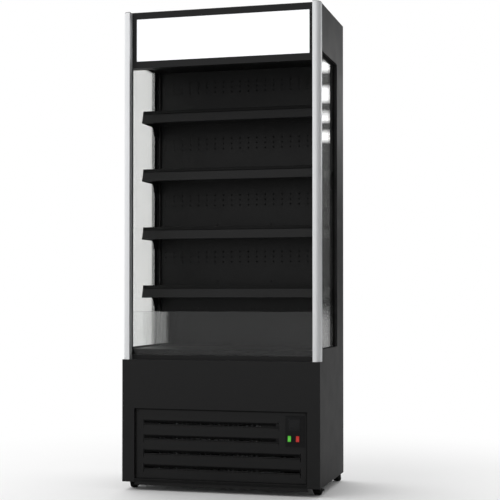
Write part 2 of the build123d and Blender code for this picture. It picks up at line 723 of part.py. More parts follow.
def make_louvre_panel():
    """Removable machine panel: four long louvres with slit ends and the control openings."""
    half = ACCESS_WIDTH / 2 + PANEL_LAP
    with BuildPart() as louvre_panel:
        block(-half, half, PANEL_FACE, PANEL_FACE + SHEET,
              ACCESS_BOTTOM - PANEL_LAP, ACCESS_TOP + PANEL_LAP)
        for gap_z, right in zip(LOUVRE_GAP_Z, LOUVRE_RIGHT):
            length = right - LOUVRE_LEFT
            inner_left = LOUVRE_LEFT + SHEET
            extrude(hood_outline(gap_z, LOUVRE_LEFT, 0), amount=length)
            extrude(hood_outline(gap_z, inner_left, SHEET), amount=length - 2 * SHEET,
                    mode=Mode.SUBTRACT)
            block(inner_left, right - SHEET, PANEL_FACE, PANEL_FACE + LOUVRE_DEPTH + 2 * SHEET,
                  gap_z, gap_z + LOUVRE_GAP - SHEET, Mode.SUBTRACT)
            extrude(lip_outline(gap_z, LOUVRE_LEFT), amount=length)
            for low in (LOUVRE_LEFT - LOUVRE_SLIT, right):
                block(low, low + LOUVRE_SLIT, PANEL_FACE, PANEL_FACE + SHEET,
                      gap_z - LOUVRE_SLIT_DROP, gap_z + LOUVRE_GAP + LOUVRE_HOOD, Mode.SUBTRACT)
        cut_control_openings(PANEL_FACE, PANEL_FACE + SHEET)
    return louvre_panel.part


# ---- Controls ----
def switch_half_width():
    """Half the outer width of a switch body."""
    return ROCKER_WIDTH / 2 + FIT + SWITCH_WALL


def switch_half_height():
    """Half the outer height of a switch body."""
    return ROCKER_HEIGHT / 2 + FIT + SWITCH_WALL


def make_control_plate():
    """Thin face plate on the louvre panel, with openings for display and switches."""
    front = PANEL_FACE - PLATE_THICK
    with BuildPart() as control_plate:
        block(PLATE_LEFT, PLATE_RIGHT, front, PANEL_FACE, PLATE_BOTTOM, PLATE_TOP)
        fillet(control_plate.edges().filter_by(Axis.Y), PLATE_THICK)
        cut_control_openings(front, PANEL_FACE)
    return control_plate.part


def make_display_module():
    """Thermostat: a dark window that laps the plate and the body behind it."""
    front = PANEL_FACE - PLATE_THICK
    half = DISPLAY_SIZE / 2
    body = half - DISPLAY_RIM
    with BuildPart() as display_module:
        block(DISPLAY_X - half, DISPLAY_X + half, front - DISPLAY_PROUD, front,
              DISPLAY_Z - half, DISPLAY_Z + half)
        face_edges = display_module.faces().sort_by(Axis.Y)[0].edges()
        chamfer(face_edges, DISPLAY_PROUD / 2)
        block(DISPLAY_X - body, DISPLAY_X + body, front, front + DISPLAY_BODY,
              DISPLAY_Z - body, DISPLAY_Z + body)
    return display_module.part


def make_switch_housings():
    """Two snap-in switch bodies: a rim on the plate and a box with the rocker's pivot."""
    front = PANEL_FACE - PLATE_THICK
    half_w, half_h = switch_half_width(), switch_half_height()
    room_w, room_h = ROCKER_WIDTH / 2 + FIT, ROCKER_HEIGHT / 2 + FIT
    pivot = rocker_pivot_depth()
    with BuildPart() as switch_housings:
        for x in SWITCH_X:
            block(x - half_w - SWITCH_RIM, x + half_w + SWITCH_RIM, front - SHEET, front,
                  SWITCH_Z - half_h - SWITCH_RIM, SWITCH_Z + half_h + SWITCH_RIM)
            block(x - half_w, x + half_w, front, front + SWITCH_BODY,
                  SWITCH_Z - half_h, SWITCH_Z + half_h)
            block(x - room_w, x + room_w, front - SHEET, front + SWITCH_BODY - SWITCH_WALL,
                  SWITCH_Z - room_h, SWITCH_Z + room_h, Mode.SUBTRACT)
            rod(x - room_w - SWITCH_WALL / 2, pivot, SWITCH_Z, ROCKER_PIN / 2 + PIN_FIT,
                2 * room_w + SWITCH_WALL, "X", Mode.SUBTRACT)
    return switch_housings.part


def rocker_pivot_depth():
    """Depth of the rockers' pivot axis."""
    return PANEL_FACE - PLATE_THICK + ROCKER_THICK / 2


def make_rocker(x):
    """Lit rocker key, shown tipped to its on side, with its pivot pins and tail."""
    pivot = depth_y(rocker_pivot_depth())
    reach = ROCKER_THICK / 2 + SHEET + ROCKER_PROUD
    half = ROCKER_HEIGHT / 2 - 2 * FIT
    pin_half = ROCKER_WIDTH / 2 + FIT + SWITCH_WALL / 2 - PIN_FIT
    with BuildPart() as rocker:
        with BuildSketch(Plane.YZ.offset(x - ROCKER_WIDTH / 2)):
            with BuildLine():
                Polyline((pivot - reach, SWITCH_Z + half), (pivot - reach + ROCKER_PROUD, SWITCH_Z),
                         (pivot - reach, SWITCH_Z - half), (pivot, SWITCH_Z - half + ROCKER_PROUD),
                         (pivot + ROCKER_THICK, SWITCH_Z - ROCKER_PIN),
                         (pivot + ROCKER_THICK, SWITCH_Z + ROCKER_PIN),
                         (pivot, SWITCH_Z + half - ROCKER_PROUD), close=True)
            make_face()
        extrude(amount=ROCKER_WIDTH)
        rod(x - pin_half, rocker_pivot_depth(), SWITCH_Z, ROCKER_PIN / 2, 2 * pin_half, "X")
    pivot_axis = Axis((x, pivot, SWITCH_Z), (1, 0, 0))
    return rocker.part.rotate(pivot_axis, -ROCKER_TILT)


# ---- Tub and evaporator ----
def make_tub():
    """Insulated tub under the deck, with a drain spout and two pipe holes in its floor."""
    with BuildPart() as evaporator_tub:
        block(-X_IN, X_IN, FASCIA_SHEET, BACK_FACE, TUB_BOTTOM, TUB_TOP)
        block(-X_IN + TUB_WALL, X_IN - TUB_WALL, FASCIA_SHEET + TUB_WALL, BACK_FACE - TUB_WALL,
              TUB_WELL, TUB_TOP, Mode.SUBTRACT)
        rod(TRAY_X, TRAY_DEPTH, TUB_BOTTOM - SPOUT_LENGTH, SPOUT_RADIUS, SPOUT_LENGTH + SHEET)
        rod(TRAY_X, TRAY_DEPTH, TUB_BOTTOM - SPOUT_LENGTH, SPOUT_BORE,
            SPOUT_LENGTH + TUB_FLOOR, mode=Mode.SUBTRACT)
        for x, depth in ((LIQUID_X, evap_tube_depths()[0]), (SUCTION_X, evap_tube_depths()[1])):
            rod(x, depth, TUB_BOTTOM, PIPE_RADIUS + FIT, TUB_FLOOR, mode=Mode.SUBTRACT)
    return evaporator_tub.part


def tube_depths(front, rear):
    """Depths of a coil's two tube columns."""
    middle = (front + rear) / 2
    return (front + middle) / 2, (middle + rear) / 2


def evap_tube_depths():
    """Depths of the evaporator's tube columns."""
    return tube_depths(EVAP_FRONT, EVAP_REAR)


def tube_heights(z_low, height):
    """Heights of a coil's tube rows, lowest first."""
    rows = int(height // COIL_TUBE_PITCH)
    middle = z_low + height / 2
    return [middle + (row - (rows - 1) / 2) * COIL_TUBE_PITCH for row in range(rows)]


def make_coil(x, length, front, rear, z_low, height, foot):
    """Finned coil: fins and straight tubes between end plates that stand on feet."""
    half = length / 2
    fin_count = int((length - COIL_FIN_PITCH) // COIL_FIN_PITCH)
    spacing = (length - COIL_PLATE) / (fin_count + 1)
    with BuildPart() as coil:
        for end in (x - half, x + half - COIL_PLATE):
            block(end, end + COIL_PLATE, front, rear, z_low - foot, z_low + height)
        for index in range(1, fin_count + 1):
            fin = x - half + index * spacing
            block(fin, fin + COIL_FIN, front, rear, z_low, z_low + height)
        for z in tube_heights(z_low, height):
            for tube_depth in tube_depths(front, rear):
                rod(x - half - COIL_TUBE, tube_depth, z, COIL_TUBE, length + 2 * COIL_TUBE, "X")
    return coil.part


def motor_depth(depth):
    """Depth of a fan motor's front, behind the shroud plate and the blades."""
    return depth + SHROUD_PLATE + FAN_HUB_LENGTH + FAN_CHORD / 2


def make_fan_shroud(x, z, depth, radius, half_width, z_low, z_high):
    """Upright plate with a round opening, and a motor held behind it on two arms."""
    front = motor_depth(depth)
    opening = radius + FAN_TIP_GAP
    arm_half = MOTOR_RADIUS / 2
    with BuildPart() as shroud:
        block(x - half_width, x + half_width, depth, depth + SHROUD_PLATE, z_low, z_high)
        rod(x, depth, z, opening, SHROUD_PLATE, "Y", Mode.SUBTRACT)
        arm_x = opening + SHROUD_PLATE
        block(x - arm_x, x + arm_x, front, front + SHROUD_PLATE, z - arm_half, z + arm_half)
        for end in (x - arm_x, x + arm_x - SHROUD_PLATE):
            block(end, end + SHROUD_PLATE, depth, front + SHROUD_PLATE, z - arm_half, z + arm_half)
        rod(x, front, z, MOTOR_RADIUS, MOTOR_LENGTH, "Y")
        rod(x, front, z, SHAFT_RADIUS + SHAFT_FIT, MOTOR_LENGTH - MOTOR_BACKPLATE,
            "Y", Mode.SUBTRACT)
    return shroud.part


def make_fan(x, z, depth, radius):
    """Fan with pitched blades, its hub and the shaft that runs in the motor."""
    hub_front = depth + SHROUD_PLATE
    blade_length = radius - FAN_HUB / 2
    shaft_length = motor_depth(depth) + SHAFT_REACH - hub_front
    with BuildPart() as fan:
        rod(x, hub_front, z, FAN_HUB, FAN_HUB_LENGTH, "Y")
        rod(x, hub_front, z, SHAFT_RADIUS, shaft_length, "Y")
        with Locations(Location((x, depth_y(hub_front + FAN_HUB_LENGTH / 2), z), (90, 0, 0))):
            with PolarLocations(FAN_HUB / 2 + blade_length / 2, FAN_BLADES):
                Box(blade_length, FAN_CHORD, FAN_BLADE_THICK, rotation=(FAN_PITCH, 0, 0))
    return fan.part


# ---- Condensing unit ----
def make_base_pan():
    """Machine floor with folded edges, between the sides, fascia and rear grille."""
    with BuildPart() as base_pan:
        block(-X_IN, X_IN, PAN_FRONT, DEPTH, BASE_BOTTOM, BASE_BOTTOM + PAN_FLANGE)
        block(-X_IN + PAN_SHEET, X_IN - PAN_SHEET, PAN_FRONT + PAN_SHEET, DEPTH - PAN_SHEET,
              PAN_TOP, BASE_BOTTOM + PAN_FLANGE, Mode.SUBTRACT)
    return base_pan.part


def make_rear_grille():
    """Vented sheet that closes the machine space at the back, holed for the cord inlet."""
    edge = X_IN - PAN_SHEET
    vent_z = (PAN_TOP + TUB_BOTTOM) / 2 + GLAND_NUT
    with BuildPart() as rear_grille:
        block(-edge, edge, REAR_GRILLE_DEPTH, REAR_GRILLE_DEPTH + SHEET, PAN_TOP, TUB_BOTTOM)
        with Locations(Location((0, depth_y(REAR_GRILLE_DEPTH + SHEET / 2), vent_z), (90, 0, 0))):
            with GridLocations(VENT_PITCH_X, VENT_PITCH_Z, VENT_COLUMNS, VENT_ROWS):
                Box(VENT_LENGTH, VENT_HEIGHT, 2 * SHEET, mode=Mode.SUBTRACT)
        rod(GLAND_X, REAR_GRILLE_DEPTH, GLAND_Z, GLAND_RADIUS, SHEET, "Y", Mode.SUBTRACT)
    return rear_grille.part


def make_mains_gland():
    """Cord inlet through the rear grille: threaded body, nut inside and collar outside."""
    inside = REAR_GRILLE_DEPTH - GLAND_FLANGE
    outside = REAR_GRILLE_DEPTH + SHEET
    with BuildPart() as mains_gland:
        rod(GLAND_X, inside, GLAND_Z, GLAND_RADIUS, GLAND_LENGTH, "Y")
        for collar in (inside, outside):
            rod(GLAND_X, collar, GLAND_Z, GLAND_NUT, GLAND_FLANGE, "Y")
        rod(GLAND_X, inside, GLAND_Z, GLAND_BORE, GLAND_LENGTH, "Y", Mode.SUBTRACT)
    return mains_gland.part


def make_compressor():
    """Hermetic compressor: welded pot, foot plate on rubber mounts and terminal box."""
    plate_z = PAN_TOP + COMP_FOOT
    seam_z = plate_z + COMP_HEIGHT / 2
    half_x = COMP_FOOT_SPAN_X / 2 + COMP_FOOT_RADIUS
    half_y = COMP_FOOT_SPAN_Y / 2 + COMP_FOOT_RADIUS
    with BuildPart() as compressor:
        rod(COMP_X, COMP_DEPTH, plate_z, COMP_RADIUS, COMP_HEIGHT)
        fillet(compressor.edges().filter_by(GeomType.CIRCLE), COMP_RADIUS / 3)
        rod(COMP_X, COMP_DEPTH, seam_z, COMP_RADIUS + COMP_PLATE, COMP_PLATE)
        block(COMP_X - half_x, COMP_X + half_x, COMP_DEPTH - half_y, COMP_DEPTH + half_y,
              plate_z, plate_z + COMP_PLATE)
        with Locations((COMP_X, depth_y(COMP_DEPTH), PAN_TOP + COMP_FOOT / 2)):
            with GridLocations(COMP_FOOT_SPAN_X, COMP_FOOT_SPAN_Y, 2, 2):
                Cylinder(COMP_FOOT_RADIUS, COMP_FOOT)
        block(COMP_X + COMP_RADIUS - TERMINAL_REACH, COMP_X + COMP_RADIUS + TERMINAL_REACH,
              COMP_DEPTH - TERMINAL_BOX, COMP_DEPTH + TERMINAL_BOX,
              seam_z - TERMINAL_BOX, seam_z + TERMINAL_BOX)
    return compressor.part


def make_pipe(points):
    """Copper pipe along straight runs given as (x, depth, z), bent to one radius."""
    corners = [(x, depth_y(depth), z) for x, depth, z in points]
    with BuildPart() as pipe:
        with BuildLine() as route:
            FilletPolyline(*corners, radius=PIPE_BEND)
        with BuildSketch(Plane(route.line @ 0, z_dir=route.line % 0)):
            Circle(PIPE_RADIUS)
        sweep()
    return pipe.part


def make_pipes():
    """Discharge, liquid and suction pipes, with the filter drier on the liquid line."""
    comp_top = PAN_TOP + COMP_FOOT + COMP_HEIGHT
    cond_end = COND_X + COND_LENGTH / 2 + COIL_TUBE
    evap_end = EVAP_LENGTH / 2 + COIL_TUBE
    cond_near, cond_far = tube_depths(COND_FRONT, COND_REAR)
    evap_near, evap_far = evap_tube_depths()
    cond_z = tube_heights(PAN_TOP + COIL_FOOT, COND_HEIGHT)
    evap_z = tube_heights(TUB_WELL + COIL_FOOT, EVAP_HEIGHT)
    discharge_x = COMP_X + DISCHARGE_OFFSET
    suction_x = COMP_X + SUCTION_OFFSET
    discharge = make_pipe([(discharge_x, COMP_DEPTH, comp_top), (discharge_x, COMP_DEPTH, cond_z[-1]),
                           (discharge_x, cond_far, cond_z[-1]), (cond_end, cond_far, cond_z[-1])])
    liquid = make_pipe([(cond_end, cond_near, cond_z[0]), (LIQUID_X, cond_near, cond_z[0]),
                        (LIQUID_X, evap_near, cond_z[0]), (LIQUID_X, evap_near, evap_z[0]),
                        (evap_end, evap_near, evap_z[0])])
    suction = make_pipe([(evap_end, evap_far, evap_z[1]), (SUCTION_X, evap_far, evap_z[1]),
                         (SUCTION_X, evap_far, SUCTION_JOG), (suction_x, evap_far, SUCTION_JOG),
                         (suction_x, evap_far, comp_top)])
    with BuildPart() as refrigerant_pipes:
        for pipe in (discharge, liquid, suction):
            add(pipe)
        rod(LIQUID_X, DRIER_FRONT, cond_z[0], DRIER_RADIUS, DRIER_LENGTH, "Y")
    return refrigerant_pipes.part


def make_condensate_tray():
    """Open tray on the machine floor, under the tub's drain spout."""
    with BuildPart() as condensate_tray:
        low_x, high_x = TRAY_X - TRAY_LENGTH / 2, TRAY_X + TRAY_LENGTH / 2
        near, far = TRAY_DEPTH - TRAY_WIDTH / 2, TRAY_DEPTH + TRAY_WIDTH / 2
        block(low_x, high_x, near, far, PAN_TOP, PAN_TOP + TRAY_HEIGHT)
        block(low_x + TRAY_WALL, high_x - TRAY_WALL, near + TRAY_WALL, far - TRAY_WALL,
              PAN_TOP + TRAY_WALL, PAN_TOP + TRAY_HEIGHT, Mode.SUBTRACT)
    return condensate_tray.part


# ---- Castors ----
def crown_top():
    """Height of a castor fork's upper face, under its plate."""
    return BASE_BOTTOM - CASTOR_PLATE_THICK - RACE_GAP


def castor_turn(part, place):
    """Turn a castor piece, built trailing along +X, to the way its castor stands."""
    x, depth = CASTORS[place]
    return part.rotate(Axis((x, depth_y(depth), 0), (0, 0, 1)), CASTOR_AIM[place])


def cheek_faces():
    """Distances of a fork cheek's inner and outer faces from the wheel's middle."""
    inner = WHEEL_WIDTH / 2 + CHEEK_GAP
    return inner, inner + CHEEK


def make_castor_plates():
    """Four top plates under the base, each with the headed pin that its fork turns on."""
    half = CASTOR_PLATE / 2
    plate_low = BASE_BOTTOM - CASTOR_PLATE_THICK
    head_top = crown_top() - CROWN_THICK - RACE_GAP
    with BuildPart() as castor_plates:
        for x, depth in CASTORS.values():
            block(x - half, x + half, depth - half, depth + half, plate_low, BASE_BOTTOM)
            rod(x, depth, head_top, KINGPIN_RADIUS, plate_low - head_top)
            rod(x, depth, head_top - SHEET, KINGPIN_RADIUS + SHEET, SHEET)
    return castor_plates.part


def cheek_outline(x, depth):
    """Side view of a fork cheek, broad under the crown and narrow round the axle."""
    crown_low = crown_top() - CROWN_THICK
    near, far = x + CASTOR_TRAIL - 2 * AXLE_RADIUS, x + CASTOR_TRAIL + 2 * AXLE_RADIUS
    low = WHEEL_RADIUS - 2 * AXLE_RADIUS
    with BuildSketch(Plane.XZ.offset(-depth_y(depth))) as outline:
        with BuildLine():
            Polyline((x - CHEEK_REACH, crown_low), (far, crown_low), (far, low), (near, low), close=True)
        make_face()
    return outline.sketch


def make_castor_fork(place):
    """Swivelling fork with its axle; a braked one has studs for the pedal."""
    x, depth = CASTORS[place]
    inner, outer = cheek_faces()
    crown_low = crown_top() - CROWN_THICK
    axle_x = x + CASTOR_TRAIL
    with BuildPart() as castor_fork:
        rod(x, depth, crown_low, CROWN_RADIUS, CROWN_THICK)
        for rear_face in (-inner, outer):
            extrude(cheek_outline(x, depth + rear_face), amount=CHEEK)
        rod(x, depth, crown_low, KINGPIN_RADIUS + RACE_GAP, CROWN_THICK, mode=Mode.SUBTRACT)
        rod(axle_x, depth - inner, WHEEL_RADIUS, AXLE_RADIUS, 2 * inner, "Y")
        if place in BRAKED:
            for low in (-outer - PEDAL_ARM - FIT, outer):
                rod(axle_x + PEDAL_PIN_AHEAD, depth + low, WHEEL_RADIUS + PEDAL_PIN_RISE,
                    PEDAL_PIN_RADIUS, PEDAL_ARM + FIT, "Y")
    return castor_turn(castor_fork.part, place)


def make_castor_wheel(place):
    """Castor wheel with a rounded tread, bored for its axle."""
    x, depth = CASTORS[place]
    axle_x = x + CASTOR_TRAIL
    near = depth - WHEEL_WIDTH / 2
    with BuildPart() as castor_wheel:
        rod(axle_x, near, WHEEL_RADIUS, WHEEL_RADIUS, WHEEL_WIDTH, "Y")
        fillet(castor_wheel.edges().filter_by(GeomType.CIRCLE), WHEEL_EDGE)
        rod(axle_x, near, WHEEL_RADIUS, AXLE_RADIUS + AXLE_FIT, WHEEL_WIDTH, "Y", Mode.SUBTRACT)
    return castor_turn(castor_wheel.part, place)


def make_castor_pedal(place):
    """Brake pedal of a front castor: two arms astride the fork and a foot behind it."""
    x, depth = CASTORS[place]
    axle_x = x + CASTOR_TRAIL
    pin_x = axle_x + PEDAL_PIN_AHEAD
    pin_z = WHEEL_RADIUS + PEDAL_PIN_RISE
    near = cheek_faces()[1] + FIT
    far = near + PEDAL_ARM
    low_z = pin_z - PEDAL_HEIGHT / 2
    foot_x = axle_x + WHEEL_RADIUS + PEDAL_LIFT
    with BuildPart() as castor_pedal:
        for low in (-far, near):
            block(pin_x - PEDAL_HEIGHT / 2, foot_x + PEDAL_FOOT, depth + low, depth + low + PEDAL_ARM,
                  low_z, low_z + PEDAL_HEIGHT)
        block(foot_x, foot_x + PEDAL_FOOT, depth - far, depth + far, low_z, low_z + PEDAL_HEIGHT)
        rod(pin_x, depth - far, pin_z, PEDAL_PIN_RADIUS + AXLE_FIT, 2 * far, "Y", Mode.SUBTRACT)
    return castor_turn(castor_pedal.part, place)


# ---- Write every piece ----
def save_cabinet():
    """Shell, header, canopy and glazing."""
    for name, part in (("side_panel", make_side_panel()), ("corner_post", make_corner_post())):
        save(part, f"{name}_right")
        save(mirrored(part), f"{name}_left")
    for name, part in (("side_glasses", make_side_glass()), ("glass_gaskets", make_glass_gasket()),
                       ("post_caps", make_post_cap())):
        save(paired(part), name)
    save(make_roof(), "roof_panel")
    save(make_back(), "back_panel")
    save(make_header_frame(), "header_frame")
    save(make_sign_panel(), "sign_panel")
    save(make_led_strips(), "led_strips")
    save(make_air_outlet(), "air_outlet_honeycomb")
    save(make_canopy_lining(), "canopy_lining")
    save(make_duct_panel(), "duct_panel")


def save_display_area():
    """Shelves, rails, brackets, deck and low front glass."""
    save(make_uprights(), "shelf_uprights")
    for level in range(SHELF_COUNT):
        save(make_shelf(level), f"shelf_{level + 1}")
        save(make_price_rail(level), f"price_rail_{level + 1}")
    save(make_brackets(), "shelf_brackets")
    save(make_deck_tray(), "deck_tray")
    save(make_return_grille(), "return_grille")
    save(make_glass_nose(), "glass_nose")
    save(make_front_glass(), "front_glass")


def save_base():
    """Fascia, machine panel, controls and what stands behind them."""
    save(make_fascia(), "front_fascia")
    save(make_louvre_panel(), "louvre_panel")
    save(make_control_plate(), "control_plate")
    save(make_display_module(), "display_module")
    save(make_switch_housings(), "switch_housings")
    save(make_rocker(SWITCH_X[0]), "power_rocker")
    save(make_rocker(SWITCH_X[1]), "light_rocker")
    save(make_base_pan(), "base_pan")
    save(make_rear_grille(), "rear_grille")
    save(make_mains_gland(), "mains_gland")


def save_cold_circuit():
    """Tub, coils, fans, compressor, pipes and drain tray."""
    evap_fan_z = TUB_WELL + EVAP_FAN_RADIUS + FAN_TIP_GAP + SHROUD_PLATE
    cond_fan_z = PAN_TOP + COND_HEIGHT / 2
    save(make_tub(), "evaporator_tub")
    save(make_coil(0, EVAP_LENGTH, EVAP_FRONT, EVAP_REAR, TUB_WELL + COIL_FOOT, EVAP_HEIGHT, COIL_FOOT),
         "evaporator_coil")
    save(make_fan_shroud(0, evap_fan_z, EVAP_FAN_DEPTH, EVAP_FAN_RADIUS,
                         X_IN - TUB_WALL, TUB_WELL, TUB_TOP), "evaporator_shroud")
    save(make_fan(0, evap_fan_z, EVAP_FAN_DEPTH, EVAP_FAN_RADIUS), "evaporator_fan")
    save(make_coil(COND_X, COND_LENGTH, COND_FRONT, COND_REAR, PAN_TOP + COIL_FOOT, COND_HEIGHT, COIL_FOOT),
         "condenser_coil")
    save(make_fan_shroud(COND_X, cond_fan_z, COND_REAR, COND_FAN_RADIUS, COND_LENGTH / 2,
                         PAN_TOP, PAN_TOP + COIL_FOOT + COND_HEIGHT), "condenser_shroud")
    save(make_fan(COND_X, cond_fan_z, COND_REAR, COND_FAN_RADIUS), "condenser_fan")
    save(make_compressor(), "compressor")
    save(make_pipes(), "refrigerant_pipes")
    save(make_condensate_tray(), "condensate_tray")


def save_castors():
    """Plates, forks, wheels and the front castors' brake pedals."""
    save(make_castor_plates(), "castor_plates")
    for place in CASTORS:
        save(make_castor_fork(place), f"castor_fork_{place}")
        save(make_castor_wheel(place), f"castor_wheel_{place}")
    for place in BRAKED:
        save(make_castor_pedal(place), f"castor_pedal_{place}")


os.makedirs("parts", exist_ok=True)
save_cabinet()
save_display_area()
save_base()
save_cold_circuit()
save_castors()
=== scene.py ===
import json
import logging
import math
from dataclasses import dataclass, replace
from enum import Enum
from functools import cache

import bmesh
import bpy
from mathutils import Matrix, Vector


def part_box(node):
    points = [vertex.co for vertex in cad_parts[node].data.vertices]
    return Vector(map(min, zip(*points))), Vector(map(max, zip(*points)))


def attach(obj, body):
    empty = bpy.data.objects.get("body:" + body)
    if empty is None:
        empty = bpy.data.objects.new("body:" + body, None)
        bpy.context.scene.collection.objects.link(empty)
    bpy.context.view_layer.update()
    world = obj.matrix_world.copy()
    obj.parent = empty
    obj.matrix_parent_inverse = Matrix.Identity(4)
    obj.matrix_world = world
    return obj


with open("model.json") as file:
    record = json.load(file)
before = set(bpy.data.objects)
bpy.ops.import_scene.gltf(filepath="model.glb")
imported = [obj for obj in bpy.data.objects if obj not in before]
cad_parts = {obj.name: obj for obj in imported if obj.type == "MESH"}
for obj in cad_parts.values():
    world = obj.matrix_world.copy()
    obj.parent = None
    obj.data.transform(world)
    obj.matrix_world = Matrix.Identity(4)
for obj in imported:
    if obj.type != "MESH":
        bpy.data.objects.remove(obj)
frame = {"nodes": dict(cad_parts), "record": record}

log = logging.getLogger("display_fridge")

Point = tuple[float, float, float]
Colour = tuple[float, float, float]
Pair = tuple[float, float]
Profile = tuple[Pair, ...]
Ramp = tuple[float, ...]  # from and to of a value and, where they aren't 0 and 1, of its result
Place = tuple[Vector, Vector]  # where a small part sits, and which way it faces
Node = bpy.types.Node
Socket = bpy.types.NodeSocket
Sockets = bpy.types.bpy_prop_collection
Tree = bpy.types.NodeTree
Mesh = bpy.types.Mesh

MM = 0.001
FRONT = -0.25  # the base front's Y in metres
CABINET = "cabinet"

# Sections of turned parts: shares of the part's radius and height, from its seat up.
SCREW: Profile = (
    (1.0, 0.0), (1.0, 0.4), (0.8, 0.85), (0.5, 1.0), (0.42, 0.96), (0.38, 0.35), (0.0, 0.3))
WASHER: Profile = ((1.25, 0.0), (1.25, 0.15), (0.9, 0.16))
NUT_SIDES: Profile = ((1.0, 0.15), (1.0, 0.85), (0.88, 1.0))
THREAD_END: Profile = ((0.5, 1.0), (0.5, 1.2), (0.0, 1.25))


def at(x: float, depth: float, z: float) -> Vector:
    """A point from millimetres to the right, behind the base front and above the floor."""
    return Vector((x * MM, FRONT + depth * MM, z * MM))


def grey(shade: float) -> Colour:
    """A neutral colour."""
    return (shade, shade, shade)


class Face(Enum):
    """Which way a fixing or a small part looks."""

    FRONT = (0.0, -1.0, 0.0)
    REAR = (0.0, 1.0, 0.0)
    UP = (0.0, 0.0, 1.0)
    DOWN = (0.0, 0.0, -1.0)

    def vector(self) -> Vector:
        """The direction as a vector."""
        return Vector(self.value)


class Texture(Enum):
    """The fine surface that a finish has."""

    GRAIN = "sprayed or moulded grain"
    DRAWN = "drawn lines"
    SPANGLE = "zinc crystals"
    FINS = "close fins"


# ---- Node trees ----
class Graph:
    """Short calls that fill one node tree."""

    def __init__(self, tree: Tree) -> None:
        """Takes a shader or geometry tree to fill and empties it."""
        self.tree = tree
        tree.nodes.clear()

    def join(self, value: object, socket: Socket) -> None:
        """Feeds an input.

        Args:
            value: an output to link, or a plain value to set.
            socket: the input.
        """
        if isinstance(value, Socket):
            self.tree.links.new(value, socket)
        else:
            socket.default_value = value

    def add(self, kind: str, inputs: dict | None = None, **settings: object) -> Node:
        """Adds one node.

        Args:
            kind: the node's type name.
            inputs: what feeds it, by input name or number.
            **settings: the node's own properties.

        Returns:
            The new node.
        """
        node = self.tree.nodes.new(kind)
        for name, value in settings.items():
            setattr(node, name, value)
        for key, value in (inputs or {}).items():
            self.join(value, node.inputs[key])
        return node

    def group(self, tree: Tree, inputs: dict | None = None) -> Sockets:
        """Places a node group, feeds its inputs by name and gives its outputs."""
        return self.add("ShaderNodeGroup", inputs, node_tree=tree).outputs

    def math(self, operation: str, *values: object, clamp: bool = False) -> Socket:
        """One sum on numbers or sockets; clamp keeps it from 0 to 1."""
        inputs = dict(enumerate(values))
        return self.add("ShaderNodeMath", inputs, operation=operation, use_clamp=clamp).outputs[0]

    def fit(self, value: Socket, low: float, high: float, to_low: float = 0.0, to_high: float | Socket = 1.0,
            curve: str = "LINEAR") -> Socket:
        """Maps a value from one range to another, held at the ends."""
        ends = {0: value, 1: low, 2: high, 3: to_low, 4: to_high}
        return self.add("ShaderNodeMapRange", ends, interpolation_type=curve).outputs[0]

    def blend(self, share: Socket, first: object, second: object) -> Socket:
        """Mixes two numbers by the second one's share."""
        return self.add("ShaderNodeMix", {0: share, 2: first, 3: second}, data_type="FLOAT").outputs[0]

    def tint(self, share: Socket, first: object, second: object) -> Socket:
        """Mixes two colours by the second one's share."""
        ends = [(*end, 1.0) if isinstance(end, tuple) else end for end in (first, second)]
        return self.add("ShaderNodeMix", {0: share, 6: ends[0], 7: ends[1]}, data_type="RGBA").outputs[2]

    def place(self) -> Socket:
        """The surface's place on its piece, in metres."""
        return self.add("ShaderNodeTexCoord").outputs["Object"]

    def axis(self, name: str) -> Socket:
        """The place's X, Y or Z alone."""
        return self.add("ShaderNodeSeparateXYZ", {0: self.place()}).outputs[name]

    def noise(self, scale: float | Socket, detail: float = 2.0, stretch: Point | None = None) -> Socket:
        """Cloudy noise on the piece.

        Args:
            scale: features per metre.
            detail: finer layers.
            stretch: scale along each axis, before the noise.

        Returns:
            A value from 0 to 1.
        """
        where = self.place()
        if stretch:
            where = self.add("ShaderNodeMapping", {"Vector": where, "Scale": stretch}).outputs[0]
        return self.add("ShaderNodeTexNoise", {"Vector": where, "Scale": scale, "Detail": detail}).outputs[0]


